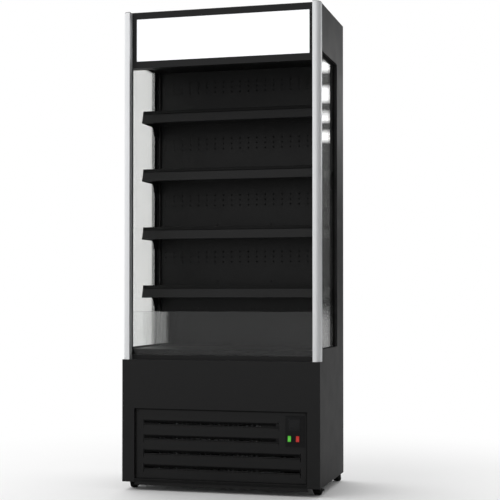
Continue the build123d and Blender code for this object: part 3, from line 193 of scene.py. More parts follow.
class Effects:
    """Shader node groups that several finishes share, each built once."""

    FINE_LINES = (1400.0, 1400.0, 9.0)  # features per metre across and along a drawn section
    WIDE_LINES = (210.0, 210.0, 1.6)
    WIDE_SHARE = 0.6
    # painted shade: ramp of the dark lines in the gaps between a coil's fins
    FIN_SHADOW = (0.1, 0.6)
    EDGE_TURN = (0.995, 0.86)  # cosine between the rounded and the true normal
    EDGE_PATCH_SCALE = 35.0
    EDGE_PATCHES = (0.42, 0.66)
    LEVEL_FACE = (0.5, 1.0)  # the normal's upward share
    DUSTY_HEIGHT = (0.16, 0.0, 0.0, 0.35)  # metres above the floor, and the share of dust there
    DUST_CLOUD_SCALE = 18.0
    DUST_CLOUDS = (0.3, 0.75)
    WIPE_STRETCH = (9.0, 9.0, 3.0)
    WIPES = (0.45, 0.75)
    SPECK_SCALE = 260.0
    SPECKS = (0.66, 0.74)
    SPECK_SHARE = 0.3

    @staticmethod
    def _open(name: str, inputs: dict[str, float], outputs: list[str]) -> tuple[Graph, Sockets, Sockets]:
        """Starts a group.

        Args:
            name: the group's name.
            inputs: its number inputs with their defaults.
            outputs: its value outputs.

        Returns:
            The graph, what the inputs give and what feeds the outputs.
        """
        tree = bpy.data.node_groups.new(name, "ShaderNodeTree")
        for label, value in inputs.items():
            socket = tree.interface.new_socket(name=label, in_out="INPUT", socket_type="NodeSocketFloat")
            socket.default_value = value
        for label in outputs:
            tree.interface.new_socket(name=label, in_out="OUTPUT", socket_type="NodeSocketFloat")
        graph = Graph(tree)
        return graph, graph.add("NodeGroupInput").outputs, graph.add("NodeGroupOutput").inputs

    @classmethod
    @cache
    def grain(cls) -> Tree:
        """Fine and broad unevenness of a coat or a moulding."""
        scales = {"Fine scale": 900.0, "Broad scale": 7.0}
        graph, given, out = cls._open("Grain", scales, ["Fine", "Broad"])
        graph.join(graph.noise(given["Fine scale"], detail=2.0), out["Fine"])
        graph.join(graph.noise(given["Broad scale"], detail=4.0), out["Broad"])
        return graph.tree

    @classmethod
    @cache
    def drawn(cls) -> Tree:
        """Long fine lines that run up a drawn section."""
        graph, given, out = cls._open("Drawn lines", {"Line scale": 1.0}, ["Line"])
        fine = graph.noise(given["Line scale"], 3.0, cls.FINE_LINES)
        wide = graph.noise(given["Line scale"], 2.0, cls.WIDE_LINES)
        rest = graph.math("MULTIPLY", fine, 1.0 - cls.WIDE_SHARE)
        graph.join(graph.math("MULTIPLY_ADD", wide, cls.WIDE_SHARE, rest), out["Line"])
        return graph.tree

    @classmethod
    @cache
    def spangle(cls) -> Tree:
        """Zinc crystals, each with its own shade."""
        graph, given, out = cls._open("Zinc crystals", {"Crystal scale": 110.0}, ["Shade"])
        crystals = {"Vector": graph.place(), "Scale": given["Crystal scale"]}
        cells = graph.add("ShaderNodeTexVoronoi", crystals).outputs["Color"]
        graph.join(graph.add("ShaderNodeSeparateColor", {0: cells}).outputs[0], out["Shade"])
        return graph.tree

    @classmethod
    @cache
    def fins(cls) -> Tree:
        """Thin upright lines between the fins of a coil, for its bump and as painted shade in the gaps
        between fins.
        """
        graph, given, out = cls._open("Close fins and painted gap shade", {"Pitch": 0.002}, ["Line"])
        turn = graph.math("DIVIDE", graph.axis("X"), given["Pitch"])
        wave = graph.math("ABSOLUTE", graph.math("SINE", graph.math("MULTIPLY", turn, math.pi)))
        graph.join(graph.fit(wave, *cls.FIN_SHADOW), out["Line"])
        return graph.tree

    @classmethod
    @cache
    def worn_edge(cls) -> Tree:
        """Outer edges where the finish has rubbed thin, in patches."""
        graph, given, out = cls._open("Worn edge", {"Width": 0.0015, "Amount": 0.5}, ["Mask"])
        soft = graph.add("ShaderNodeBevel", {"Radius": given["Width"]}, samples=3).outputs[0]
        hard = graph.add("ShaderNodeNewGeometry").outputs["Normal"]
        turn = graph.add("ShaderNodeVectorMath", {0: soft, 1: hard}, operation="DOT_PRODUCT")
        edge = graph.fit(turn.outputs["Value"], *cls.EDGE_TURN)
        patch = graph.fit(graph.noise(cls.EDGE_PATCH_SCALE, detail=4.0), *cls.EDGE_PATCHES)
        worn = graph.math("MULTIPLY", edge, patch)
        graph.join(graph.math("MULTIPLY", worn, given["Amount"], clamp=True), out["Mask"])
        return graph.tree

    @classmethod
    @cache
    def dust(cls) -> Tree:
        """Dust that settles on level faces and near the floor."""
        graph, given, out = cls._open("Settled dust", {"Amount": 0.3}, ["Mask"])
        normal = graph.add("ShaderNodeNewGeometry").outputs["Normal"]
        up = graph.add("ShaderNodeSeparateXYZ", {0: normal}).outputs["Z"]
        level = graph.fit(up, *cls.LEVEL_FACE)
        low = graph.fit(graph.axis("Z"), *cls.DUSTY_HEIGHT)
        cloud = graph.fit(graph.noise(cls.DUST_CLOUD_SCALE, detail=5.0), *cls.DUST_CLOUDS)
        settled = graph.math("MULTIPLY", graph.math("MAXIMUM", level, low), cloud)
        graph.join(graph.math("MULTIPLY", settled, given["Amount"]), out["Mask"])
        return graph.tree

    @classmethod
    @cache
    def smears(cls) -> Tree:
        """Wiped marks and specks on glass."""
        graph, given, out = cls._open("Wiped marks", {"Amount": 0.5}, ["Mask"])
        wipe = graph.fit(graph.noise(1.0, 4.0, cls.WIPE_STRETCH), *cls.WIPES)
        speck = graph.fit(graph.noise(cls.SPECK_SCALE, detail=2.0), *cls.SPECKS)
        both = graph.math("MULTIPLY_ADD", speck, cls.SPECK_SHARE, wipe)
        graph.join(graph.math("MULTIPLY", both, given["Amount"], clamp=True), out["Mask"])
        return graph.tree


# ---- Finishes ----
@dataclass(frozen=True)
class Finish:
    """An opaque finish: its colours, gloss, fine texture, wear and dust."""

    name: str
    colour: Colour
    worn: Colour
    roughness: float
    metallic: float = 0.0
    specular: float = 0.5
    texture: Texture = Texture.GRAIN
    fine_scale: float = 900.0
    relief: float = 0.00003
    unevenness: float = 0.12
    gloss_spread: float = 0.06
    wear: float = 0.4
    dust: float = 0.25
    coat: float = 0.0
    dust_colour: Colour = (0.16, 0.155, 0.145)
    fine_in_colour: float = 0.5
    fine_in_gloss: float = 0.4
    gloss_clouds: Ramp = (0.25, 0.75)

    def _fine(self, graph: Graph) -> tuple[Socket, Socket]:
        """Places the texture's groups.

        Args:
            graph: the material's graph.

        Returns:
            The fine value and the broad value.
        """
        grain = graph.group(Effects.grain(), {"Fine scale": self.fine_scale})
        own = {Texture.DRAWN: Effects.drawn, Texture.SPANGLE: Effects.spangle, Texture.FINS: Effects.fins}
        fine = graph.group(own[self.texture]())[0] if self.texture in own else grain["Fine"]
        return fine, grain["Broad"]

    def _colour(self, graph: Graph, fine: Socket, broad: Socket) -> Socket:
        """The finish's colour with its unevenness, wear and dust.

        Args:
            graph: the material's graph.
            fine: the fine texture's value.
            broad: the broad unevenness.

        Returns:
            The colour's socket.
        """
        low = tuple(c * (1.0 - self.unevenness) for c in self.colour)
        high = tuple(min(1.0, c * (1.0 + self.unevenness)) for c in self.colour)
        rest = graph.math("MULTIPLY", broad, 1.0 - self.fine_in_colour)
        share = graph.math("MULTIPLY_ADD", fine, self.fine_in_colour, rest, clamp=True)
        tone = graph.tint(share, low, high)
        tone = graph.tint(graph.group(Effects.worn_edge(), {"Amount": self.wear})[0], tone, self.worn)
        return graph.tint(graph.group(Effects.dust(), {"Amount": self.dust})[0], tone, self.dust_colour)

    def _glow(self, graph: Graph, surface: Node) -> None:
        """Adds light of its own; a plain finish has none."""

    def make(self) -> bpy.types.Material:
        """Builds the material.

        Returns:
            The finished material.
        """
        material = bpy.data.materials.new(self.name)
        material.use_nodes = True
        graph = Graph(material.node_tree)
        fine, broad = self._fine(graph)
        rest = graph.math("MULTIPLY", broad, 1.0 - self.fine_in_gloss)
        clouds = graph.math("MULTIPLY_ADD", fine, self.fine_in_gloss, rest)
        smooth, dull = self.roughness - self.gloss_spread, self.roughness + self.gloss_spread
        bump = graph.add("ShaderNodeBump", {"Strength": 1.0, "Distance": self.relief, "Height": fine})
        surface = graph.add("ShaderNodeBsdfPrincipled", {
            "Base Color": self._colour(graph, fine, broad),
            "Roughness": graph.fit(clouds, *self.gloss_clouds, smooth, dull),
            "Metallic": self.metallic, "Specular IOR Level": self.specular,
            "Coat Weight": self.coat, "Normal": bump.outputs[0]})
        self._glow(graph, surface)
        graph.add("ShaderNodeOutputMaterial", {"Surface": surface.outputs[0]})
        return material


@dataclass(frozen=True)
class LitFinish(Finish):
    """A translucent moulding lit from behind, brightest in its middle."""

    light: Colour = (1.0, 1.0, 1.0)
    edge_light: Colour = (0.9, 0.9, 0.9)
    strength: float = 1.0
    middle: Point = (0.0, 0.0, 0.0)
    reach: float = 1.0

    def _glow(self, graph: Graph, surface: Node) -> None:
        """Lights the finish.

        Args:
            graph: the material's graph.
            surface: its main shader.
        """
        away = graph.add("ShaderNodeVectorMath", {0: graph.place(), 1: self.middle}, operation="DISTANCE")
        share = graph.fit(away.outputs["Value"], self.reach, 0.0)
        graph.join(graph.tint(share, self.edge_light, self.light), surface.inputs["Emission Color"])
        graph.join(self.strength, surface.inputs["Emission Strength"])


@dataclass(frozen=True)
class GlassFinish:
    """Clear glass with wiped marks and, where asked, a black border fired on by its rear edge."""

    name: str
    tint: Colour
    opacity: float
    border_from: float | None = None
    ior: float = 1.5
    wiped: float = 0.97
    gloss: Ramp = (0.004, 0.05)
    border_colour: Colour = (0.004, 0.004, 0.004)
    border_fade: float = 0.0006
    ragged_scale: float = 900.0
    ragged: float = 0.0004

    def make(self) -> bpy.types.Material:
        """Builds the material.

        Returns:
            Glass that lets lamps through.
        """
        material = bpy.data.materials.new(self.name)
        material.use_nodes = True
        graph = Graph(material.node_tree)
        marks = graph.group(Effects.smears())[0]
        colour = graph.tint(marks, self.tint, tuple(self.wiped * c for c in self.tint))
        alpha: object = self.opacity
        if self.border_from is not None:
            edge = graph.math("MULTIPLY_ADD", graph.noise(self.ragged_scale), self.ragged, graph.axis("Y"))
            border = graph.fit(edge, self.border_from, self.border_from + self.border_fade)
            colour = graph.tint(border, colour, self.border_colour)
            alpha = graph.fit(border, 0.0, 1.0, self.opacity, 1.0)
        surface = graph.add("ShaderNodeBsdfPrincipled", {
            "Base Color": colour, "Roughness": graph.fit(marks, 0.0, 1.0, *self.gloss),
            "Metallic": 0.0, "IOR": self.ior, "Transmission Weight": 1.0, "Alpha": alpha})
        clear = graph.add("ShaderNodeBsdfTransparent", {"Color": colour})
        path = graph.add("ShaderNodeLightPath").outputs
        lamp = graph.math("MAXIMUM", path["Is Shadow Ray"], path["Is Diffuse Ray"])
        mixed = graph.add("ShaderNodeMixShader", {0: lamp, 1: surface.outputs[0], 2: clear.outputs[0]})
        graph.add("ShaderNodeOutputMaterial", {"Surface": mixed.outputs[0]})
        return material


class FinishShelf:
    """Every finish of the cabinet, made once and handed out by its slot."""

    def __init__(self) -> None:
        """Lists the finishes by slot."""
        powder = Finish("satin_black_powder", (0.0071, 0.0071, 0.0073), (0.04, 0.04, 0.042), 0.44,
                        specular=0.245, fine_scale=1100.0, relief=0.00002, wear=0.5, dust=0.07)
        castor = Finish("castor_enamel", grey(0.004), grey(0.05), 0.45, specular=0.14, dust=0.05)
        green = LitFinish("lit_green_rocker", (0.03, 0.20, 0.02), (0.1, 0.4, 0.1), 0.3, specular=0.25,
                          relief=0.00001, wear=0.2, dust=0.05, light=(0.10, 0.42, 0.05),
                          edge_light=(0.03, 0.22, 0.01), middle=tuple(at(291.8, 9.5, 232.0)), reach=0.014)
        red = replace(green, name="lit_red_rocker", colour=(0.2, 0.014, 0.01), worn=(0.4, 0.1, 0.1),
                      light=(0.34, 0.025, 0.018), edge_light=(0.2, 0.006, 0.005),
                      middle=tuple(at(325.6, 9.5, 232.0)))
        self.recipes: dict[str, Finish | GlassFinish] = {
            "black_coat": powder,
            "foamed_wall": replace(powder, name="satin_black_skin"),
            "post_aluminium": Finish("satin_anodised", (0.81, 0.82, 0.83), grey(0.88), 0.36, 0.62,
                                     texture=Texture.DRAWN, relief=0.000004, unevenness=0.05, dust=0.05),
            "post_plastic": Finish("moulded_cap", grey(0.03), grey(0.08), 0.5, relief=0.00005),
            # near-black: the gaskets' finish, and also painted shade on the ticket strips and the seal round
            # the louvre panel
            "seal_rubber": Finish("seal_rubber", grey(0.005), grey(0.02), 0.7, specular=0.16,
                                  fine_scale=500.0, relief=0.00006, dust=0.06),
            "outlet_plastic": Finish("outlet_plastic", grey(0.012), grey(0.05), 0.55, specular=0.25),
            "control_black": Finish("control_plastic", (0.0055, 0.0055, 0.0058), grey(0.03), 0.5,
                                    specular=0.16, fine_scale=1600.0, relief=0.00004, dust=0.06),
            "display_dark": Finish("smoked_window", (0.0078, 0.008, 0.0086), grey(0.03), 0.22,
                                   specular=0.24, relief=0.000002, dust=0.04),
            "tub_liner": Finish("moulded_liner", (0.60, 0.62, 0.63), (0.70, 0.72, 0.73), 0.35,
                                relief=0.00004, dust=0.1),
            # its fin lines darken the colour between the fins: painted shade, besides the fins' bump
            "coil_aluminium": Finish("bare_fins", (0.30, 0.305, 0.31), (0.6, 0.6, 0.61), 0.48, 1.0,
                                     texture=Texture.FINS, relief=0.0002, unevenness=0.35),
            "galvanised": Finish("galvanised_sheet", (0.36, 0.365, 0.37), (0.55, 0.56, 0.57), 0.44, 0.9,
                                 texture=Texture.SPANGLE, relief=0.000006, unevenness=0.22, gloss_spread=0.1),
            "fan_plastic": Finish("fan_moulding", (0.035, 0.035, 0.036), grey(0.08), 0.48),
            "gland_plastic": Finish("gland_moulding", grey(0.028), grey(0.07), 0.5),
            "compressor_black": Finish("compressor_enamel", grey(0.012), grey(0.07), 0.24,
                                       fine_scale=300.0, relief=0.00004, coat=0.4),
            "pipe_copper": Finish("drawn_copper", (0.62, 0.30, 0.17), (0.85, 0.52, 0.36), 0.34, 1.0,
                                  fine_scale=180.0, unevenness=0.35, gloss_spread=0.1, relief=0.00001),
            "tray_plastic": Finish("tray_moulding", (0.30, 0.31, 0.32), (0.42, 0.43, 0.44), 0.46),
            "castor_steel": castor,
            "pedal_steel": replace(castor, name="pedal_enamel", colour=grey(0.005), roughness=0.48, wear=0.5),
            "wheel_rubber": Finish("tread_rubber", grey(0.005), (0.02, 0.02, 0.019), 0.75, specular=0.12,
                                   fine_scale=420.0, relief=0.0001, dust=0.06),
            "sign_diffuser": LitFinish("lit_opal_sign", (0.86, 0.87, 0.88), grey(0.9), 0.4, relief=0.00001,
                                       unevenness=0.01, wear=0.0, dust=0.0, edge_light=(0.93, 0.95, 0.98),
                                       strength=0.55, middle=tuple(at(0.0, 36.0, 1877.0)), reach=0.55),
            "lamp_diffuser": LitFinish("lit_opal_lamp", (0.80, 0.82, 0.84), grey(0.9), 0.4, relief=0.00001,
                                       unevenness=0.02, wear=0.0, light=(0.96, 0.98, 1.0),
                                       edge_light=(0.80, 0.86, 0.92), strength=0.7,
                                       middle=tuple(at(0.0, 120.0, 1790.0)), reach=0.5),
            "rocker_green": green,
            "rocker_red": red,
            "pane_glass": GlassFinish("toughened_pane", (0.89, 0.91, 0.875), 0.55, FRONT + 0.353),
            "riser_glass": GlassFinish("low_front_glass", (0.92, 0.945, 0.94), 0.35),
        }
        self._made: dict[str, bpy.types.Material] = {}

    def get(self, slot: str) -> bpy.types.Material:
        """The material for a slot.

        Args:
            slot: the record's slot name.

        Returns:
            Its material, made on first use.
        """
        if slot not in self._made:
            self._made[slot] = self.recipes[slot].make()
        return self._made[slot]


# ---- Meshes ----
class Shape:
    """Faces of one piece, gathered in metres in the shared frame."""

    MERGE = 0.000001  # metres between doubled points
    SHARP = 35.0  # degrees between faces, from where an edge stays sharp

    def __init__(self) -> None:
        """Starts an empty mesh."""
        self.bm = bmesh.new()

    def sweep(self, profile: Profile, x_low: float, x_high: float, radius: float = 0.0) -> "Shape":
        """Adds a closed section that runs along X.

        Args:
            profile: (depth, height) corners in millimetres, in order.
            x_low: left end in millimetres.
            x_high: right end in millimetres.
            radius: rounding of every edge in millimetres.

        Returns:
            This shape.
        """
        ends = [[self.bm.verts.new(at(x, d, z)) for d, z in profile] for x in (x_low, x_high)]
        faces = [self.bm.faces.new(end) for end in ends]
        for i in range(len(profile)):
            j = (i + 1) % len(profile)
            faces.append(self.bm.faces.new((ends[0][i], ends[0][j], ends[1][j], ends[1][i])))
        self._round(faces, radius)
        return self

    def plate(self, low: Vector, high: Vector, radius: float = 0.0) -> "Shape":
        """Adds a block between two corners.

        Args:
            low: lowest corner in metres.
            high: highest corner in metres.
            radius: rounding of its edges in millimetres.

        Returns:
            This shape.
        """
        made = bmesh.ops.create_cube(self.bm, size=1.0)["verts"]
        for vert in made:
            vert.co = Vector(low[i] if vert.co[i] < 0 else high[i] for i in range(3))
        self._round(list({f for v in made for f in v.link_faces}), radius)
        return self

    def border(self, across: Pair, depth: Pair, up: Pair, bars: Point, radius: float) -> "Shape":
        """Adds four bars round an upright opening.

        Args:
            across: outer left and right in millimetres.
            depth: front and rear in millimetres.
            up: outer bottom and top in millimetres.
            bars: widths of the top, bottom and side bars in millimetres.
            radius: rounding of their edges in millimetres.

        Returns:
            This shape.
        """
        (left, right), (low, high), (top, bottom, side) = across, up, bars
        under, over = low + bottom, high - top
        for x_low, x_high, z_low, z_high in ((left, right, over, high), (left, right, low, under),
                                             (left, left + side, under, over),
                                             (right - side, right, under, over)):
            self.plate(at(x_low, depth[0], z_low), at(x_high, depth[1], z_high), radius)
        return self

    def lathe(self, profile: Profile, steps: int) -> "Shape":
        """Adds a body turned about Z, with its seat at the origin.

        Args:
            profile: (radius, height) in millimetres from the seat up; a radius of 0 closes an end.
            steps: flats round it.

        Returns:
            This shape.
        """
        rings = []
        for radius, height in profile:
            turns = [2 * math.pi * i / steps for i in range(steps)] if radius else [0.0]
            points = [(radius * math.cos(a), radius * math.sin(a), height) for a in turns]
            rings.append([self.bm.verts.new(MM * Vector(point)) for point in points])
        for low, high in zip(rings, rings[1:]):
            for i in range(steps):
                j = (i + 1) % steps
                corners = [low[i % len(low)], low[j % len(low)], high[j % len(high)], high[i % len(high)]]
                self.bm.faces.new(dict.fromkeys(corners))
        for ring in rings[:1] + rings[1:][-1:]:
            if len(ring) > 1:
                self.bm.faces.new(ring)
        return self

    def _round(self, faces: list, radius: float) -> None:
        """Rounds the edges of new faces.

        Args:
            faces: the faces to work on.
            radius: rounding in millimetres, or 0 for none.
        """
        if radius > 0:
            edges = list({e for f in faces for e in f.edges})
            bmesh.ops.bevel(self.bm, geom=edges, offset=radius * MM, segments=2, profile=0.6, affect="EDGES")

    def mesh(self, name: str) -> Mesh:
        """Closes the shape.

        Args:
            name: the mesh's name.

        Returns:
            The mesh, faces outwards, smooth but for its sharp edges.
        """
        bmesh.ops.remove_doubles(self.bm, verts=self.bm.verts, dist=self.MERGE)
        bmesh.ops.recalc_face_normals(self.bm, faces=self.bm.faces)
        mesh = bpy.data.meshes.new(name)
        self.bm.to_mesh(mesh)
        self.bm.free()
        mesh.polygons.foreach_set("use_smooth", [True] * len(mesh.polygons))
        mesh.set_sharp_from_angle(angle=math.radians(self.SHARP))
        return mesh


def turned(name: str, radius: float, height: float, *sections: tuple[Profile, int]) -> Mesh:
    """A small part turned from one section after another.

    Args:
        name: the mesh's name.
        radius: millimetres that a section's radius of 1 stands for.
        height: millimetres that a section's height of 1 stands for.
        *sections: each section with its number of flats.

    Returns:
        Its mesh at the origin, a few dozen faces.
    """
    part = Shape()
    for section, flats in sections:
        part.lathe([(radius * r, height * h) for r, h in section], flats)
    return part.mesh(name)


def screw_head(radius: float, height: float) -> Mesh:
    """A domed screw head with a socket, of this radius and height in millimetres."""
    return turned("screw_head", radius, height, (SCREW, 12))


def hex_nut(radius: float, height: float) -> Mesh:
    """A six-sided nut of this radius and height, with its washer and the thread's end."""
    return turned("hex_nut", radius, height, (WASHER, 18), (NUT_SIDES, 6), (THREAD_END, 12))


def put(name: str, mesh: Mesh, slot: str, finishes: FinishShelf, body: str = CABINET) -> None:
    """Adds a finished piece.

    Args:
        name: the piece's name.
        mesh: its mesh, already in place.
        slot: the record's slot that its finish comes from.
        finishes: the finishes.
        body: the body it moves with.
    """
    if not mesh.materials:
        mesh.materials.append(finishes.get(slot))
    piece = bpy.data.objects.new(name, mesh)
    bpy.context.scene.collection.objects.link(piece)
    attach(piece, body)
    log.info("piece %s: %d faces, rides on %s", name, len(mesh.polygons), body)


class Repeater:
    """A Geometry Nodes tree that seats one small part on many places."""

    INPUTS = {"Part": "NodeSocketObject", "Finish": "NodeSocketMaterial", "Size": "NodeSocketFloat",
              "Turn": "NodeSocketFloat", "Seed": "NodeSocketInt"}
    TURN = 1.0  # largest turn of a fixing about its own axis, in radians
    SEED = 7

    def __init__(self, finishes: FinishShelf) -> None:
        """Builds the tree once.

        Args:
            finishes: what its pieces are finished from.
        """
        self.finishes = finishes
        self.tree = bpy.data.node_groups.new("Seat parts", "GeometryNodeTree")
        face = self.tree.interface
        face.new_socket(name="Geometry", in_out="INPUT", socket_type="NodeSocketGeometry")
        self.keys = {label: face.new_socket(name=label, in_out="INPUT", socket_type=kind).identifier
                     for label, kind in self.INPUTS.items()}
        face.new_socket(name="Geometry", in_out="OUTPUT", socket_type="NodeSocketGeometry")
        graph = Graph(self.tree)
        given = graph.add("NodeGroupInput").outputs
        facing = graph.add("GeometryNodeInputNamedAttribute", {"Name": "facing"}, data_type="FLOAT_VECTOR")
        stand = graph.add("FunctionNodeAlignRotationToVector", {"Vector": facing.outputs[0]}, axis="Z")
        draw = {"Seed": given["Seed"], 3: given["Turn"]}
        angle = graph.add("FunctionNodeRandomValue", draw, data_type="FLOAT").outputs[1]
        spin = graph.add("FunctionNodeAxisAngleToRotation", {"Axis": Face.UP.value, "Angle": angle})
        turned_part = graph.add("FunctionNodeRotateRotation", {0: stand.outputs[0], 1: spin.outputs[0]},
                                rotation_space="LOCAL")
        part = graph.add("GeometryNodeObjectInfo", {"Object": given["Part"]}).outputs["Geometry"]
        seated = graph.add("GeometryNodeInstanceOnPoints", {
            "Points": given["Geometry"], "Instance": part, "Rotation": turned_part.outputs[0],
            "Scale": given["Size"]})
        real = graph.add("GeometryNodeRealizeInstances", {0: seated.outputs[0]}).outputs[0]
        dressed = graph.add("GeometryNodeSetMaterial", {"Geometry": real, "Material": given["Finish"]})
        graph.add("NodeGroupOutput", {0: dressed.outputs[0]})

    def seat(self, name: str, part: Mesh, places: list[Place], slot: str,
             body: str = CABINET, turn: float = TURN) -> None:
        """Puts a copy of the part at each place, all as one piece.

        Args:
            name: the piece's name.
            part: the part's mesh, its seat at the origin and its top along Z.
            places: where each copy sits and which way it faces.
            slot: the record's slot for its finish.
            body: the body it moves with.
            turn: the largest turn about its own axis, in radians.
        """
        cloud = bpy.data.meshes.new(name + "_places")
        cloud.from_pydata([tuple(p) for p, _ in places], [], [])
        facing = cloud.attributes.new("facing", "FLOAT_VECTOR", "POINT")
        facing.data.foreach_set("vector", [c for _, way in places for c in way])
        carrier = bpy.data.objects.new(name + "_places", cloud)
        sample = bpy.data.objects.new(name + "_part", part)
        for thing in (carrier, sample):
            bpy.context.scene.collection.objects.link(thing)
        modifier = carrier.modifiers.new("Seat parts", "NODES")
        modifier.node_group = self.tree
        for label, value in zip(self.INPUTS, (sample, self.finishes.get(slot), 1.0, turn, self.SEED)):
            modifier[self.keys[label]] = value
        shown = carrier.evaluated_get(bpy.context.evaluated_depsgraph_get())
        mesh = bpy.data.meshes.new_from_object(shown)
        carrier.modifiers.remove(modifier)
        for thing in (carrier, sample):
            bpy.data.objects.remove(thing)
        mesh.name = name
        put(name, mesh, slot, self.finishes, body)


# ---- Sub-assemblies ----
@dataclass
class Assembly:
    """A part of the cabinet with its own CAD nodes and its own added pieces."""

    finishes: FinishShelf
    repeater: Repeater
    nodes: tuple[str, ...] = ()
    shroud_screw: Pair = (3.5, 2.0)  # radius and height of the head

    def dress(self) -> None:
        """Gives every CAD node of this assembly its finish."""
        slots = {s["node"]: s["material_slot"] for s in frame["record"]["subparts"]}
        for name in self.nodes:
            mesh = frame["nodes"][name].data
            mesh.materials.clear()
            mesh.materials.append(self.finishes.get(slots[name]))
        log.info("%s: %d nodes dressed", type(self).__name__, len(self.nodes))

    def build(self) -> None:
        """Makes the assembly's added pieces."""

    def add(self, name: str, shape: Shape, slot: str) -> None:
        """Adds a shape as a piece of the cabinet, with its slot's finish."""
        put(name, shape.mesh(name), slot, self.finishes)

    def corner_screws(self, node: str, inset: float) -> None:
        """Seats a screw in each front corner of a shroud.

        Args:
            node: the shroud's node.
            inset: millimetres from its sides to each screw.
        """
        low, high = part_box(node)
        edge = inset * MM
        places = [(Vector((x, low.y, z)), Face.FRONT.vector())
                  for x in (low.x + edge, high.x - edge) for z in (low.z + edge, high.z - edge)]
        self.repeater.seat(f"{node}_screws", screw_head(*self.shroud_screw), places, "galvanised")


@dataclass
class Shell(Assembly):
    """Side walls, roof, back, posts and the inner back."""

    nodes: tuple[str, ...] = (
        "side_panel_left", "side_panel_right", "roof_panel", "back_panel", "corner_post_left",
        "corner_post_right", "post_caps", "canopy_lining", "duct_panel", "shelf_uprights")
    duct_face: float = 390.0
    duct_columns: tuple[float, ...] = (-366.0, -122.0, 122.0, 366.0)
    duct_rows: tuple[float, ...] = (620.0, 870.0, 1120.0, 1370.0, 1620.0)
    lining_face: float = 1800.0
    lining_columns: tuple[float, ...] = (-370.0, 0.0, 370.0)
    lining_depths: Pair = (160.0, 360.0)
    screw: Pair = (4.0, 2.0)

    def build(self) -> None:
        """Screws that hold the inner back and the canopy lining."""
        places = [(at(x, self.duct_face, z), Face.FRONT.vector())
                  for z in self.duct_rows for x in self.duct_columns]
        places += [(at(x, d, self.lining_face), Face.DOWN.vector())
                   for d in self.lining_depths for x in self.lining_columns]
        self.repeater.seat("lining_screws", screw_head(*self.screw), places, "black_coat")


@dataclass
class Header(Assembly):
    """Light box with its sign, its strips and the lamp bar."""

    nodes: tuple[str, ...] = ("header_frame", "sign_panel", "led_strips", "air_outlet_honeycomb")


@dataclass
class Glazing(Assembly):
    """Side panes, the low front glass and what holds them."""

    nodes: tuple[str, ...] = ("side_glasses", "glass_gaskets", "front_glass", "glass_nose")


@dataclass
class Shelving(Assembly):
    """Shelves with their leaning rails and brackets."""

    nodes: tuple[str, ...] = (
        "shelf_brackets", "price_rail_1", "price_rail_2", "price_rail_3", "price_rail_4",
        "shelf_1", "shelf_2", "shelf_3", "shelf_4")
    count: int = 4
    low_rail_top: float = 851.0
    pitch: float = 250.0
    half_width: float = 395.0
    rail_face: float = 186.0  # depth of the rail's front at its top
    lean: float = 20.0
    rail_height: float = 53.0
    rounding: float = 0.2
    # Sections on the rail's face: millimetres below its top, and out from it.
    # the strip's near-black finish is painted shade of the groove under the rail's top
    strip: Profile = ((0.3, 0.0), (0.3, 2.4), (13.0, 2.8), (13.0, 1.6), (2.6, 1.2), (2.6, 0.0))
    lip: Profile = ((51.5, 0.0), (51.5, 2.4), (46.5, 2.4), (46.5, 1.5), (50.0, 1.4), (50.0, 0.0))

    def build(self) -> None:
        """A ticket strip and lip on each rail; the strip's near-black finish is painted shade of the groove
        under the rail's top.
        """
        slope = self.lean / self.rail_height
        for k in range(self.count):
            top = self.low_rail_top + self.pitch * k
            for name, section, slot in (("ticket_strip", self.strip, "seal_rubber"),
                                        ("ticket_lip", self.lip, "black_coat")):
                profile = [(self.rail_face - drop * slope - out, top - drop + out * slope)
                           for drop, out in section]
                shape = Shape().sweep(profile, -self.half_width, self.half_width, self.rounding)
                self.add(f"{name}_{k + 1}", shape, slot)


@dataclass
class Deck(Assembly):
    """Deck tray, return grille and the tub below them."""

    nodes: tuple[str, ...] = (
        "deck_tray", "return_grille", "evaporator_tub", "evaporator_coil", "evaporator_shroud",
        "evaporator_fan")
    screw_inset: float = 12.0

    def build(self) -> None:
        """Screws of the evaporator shroud."""
        self.corner_screws("evaporator_shroud", self.screw_inset)


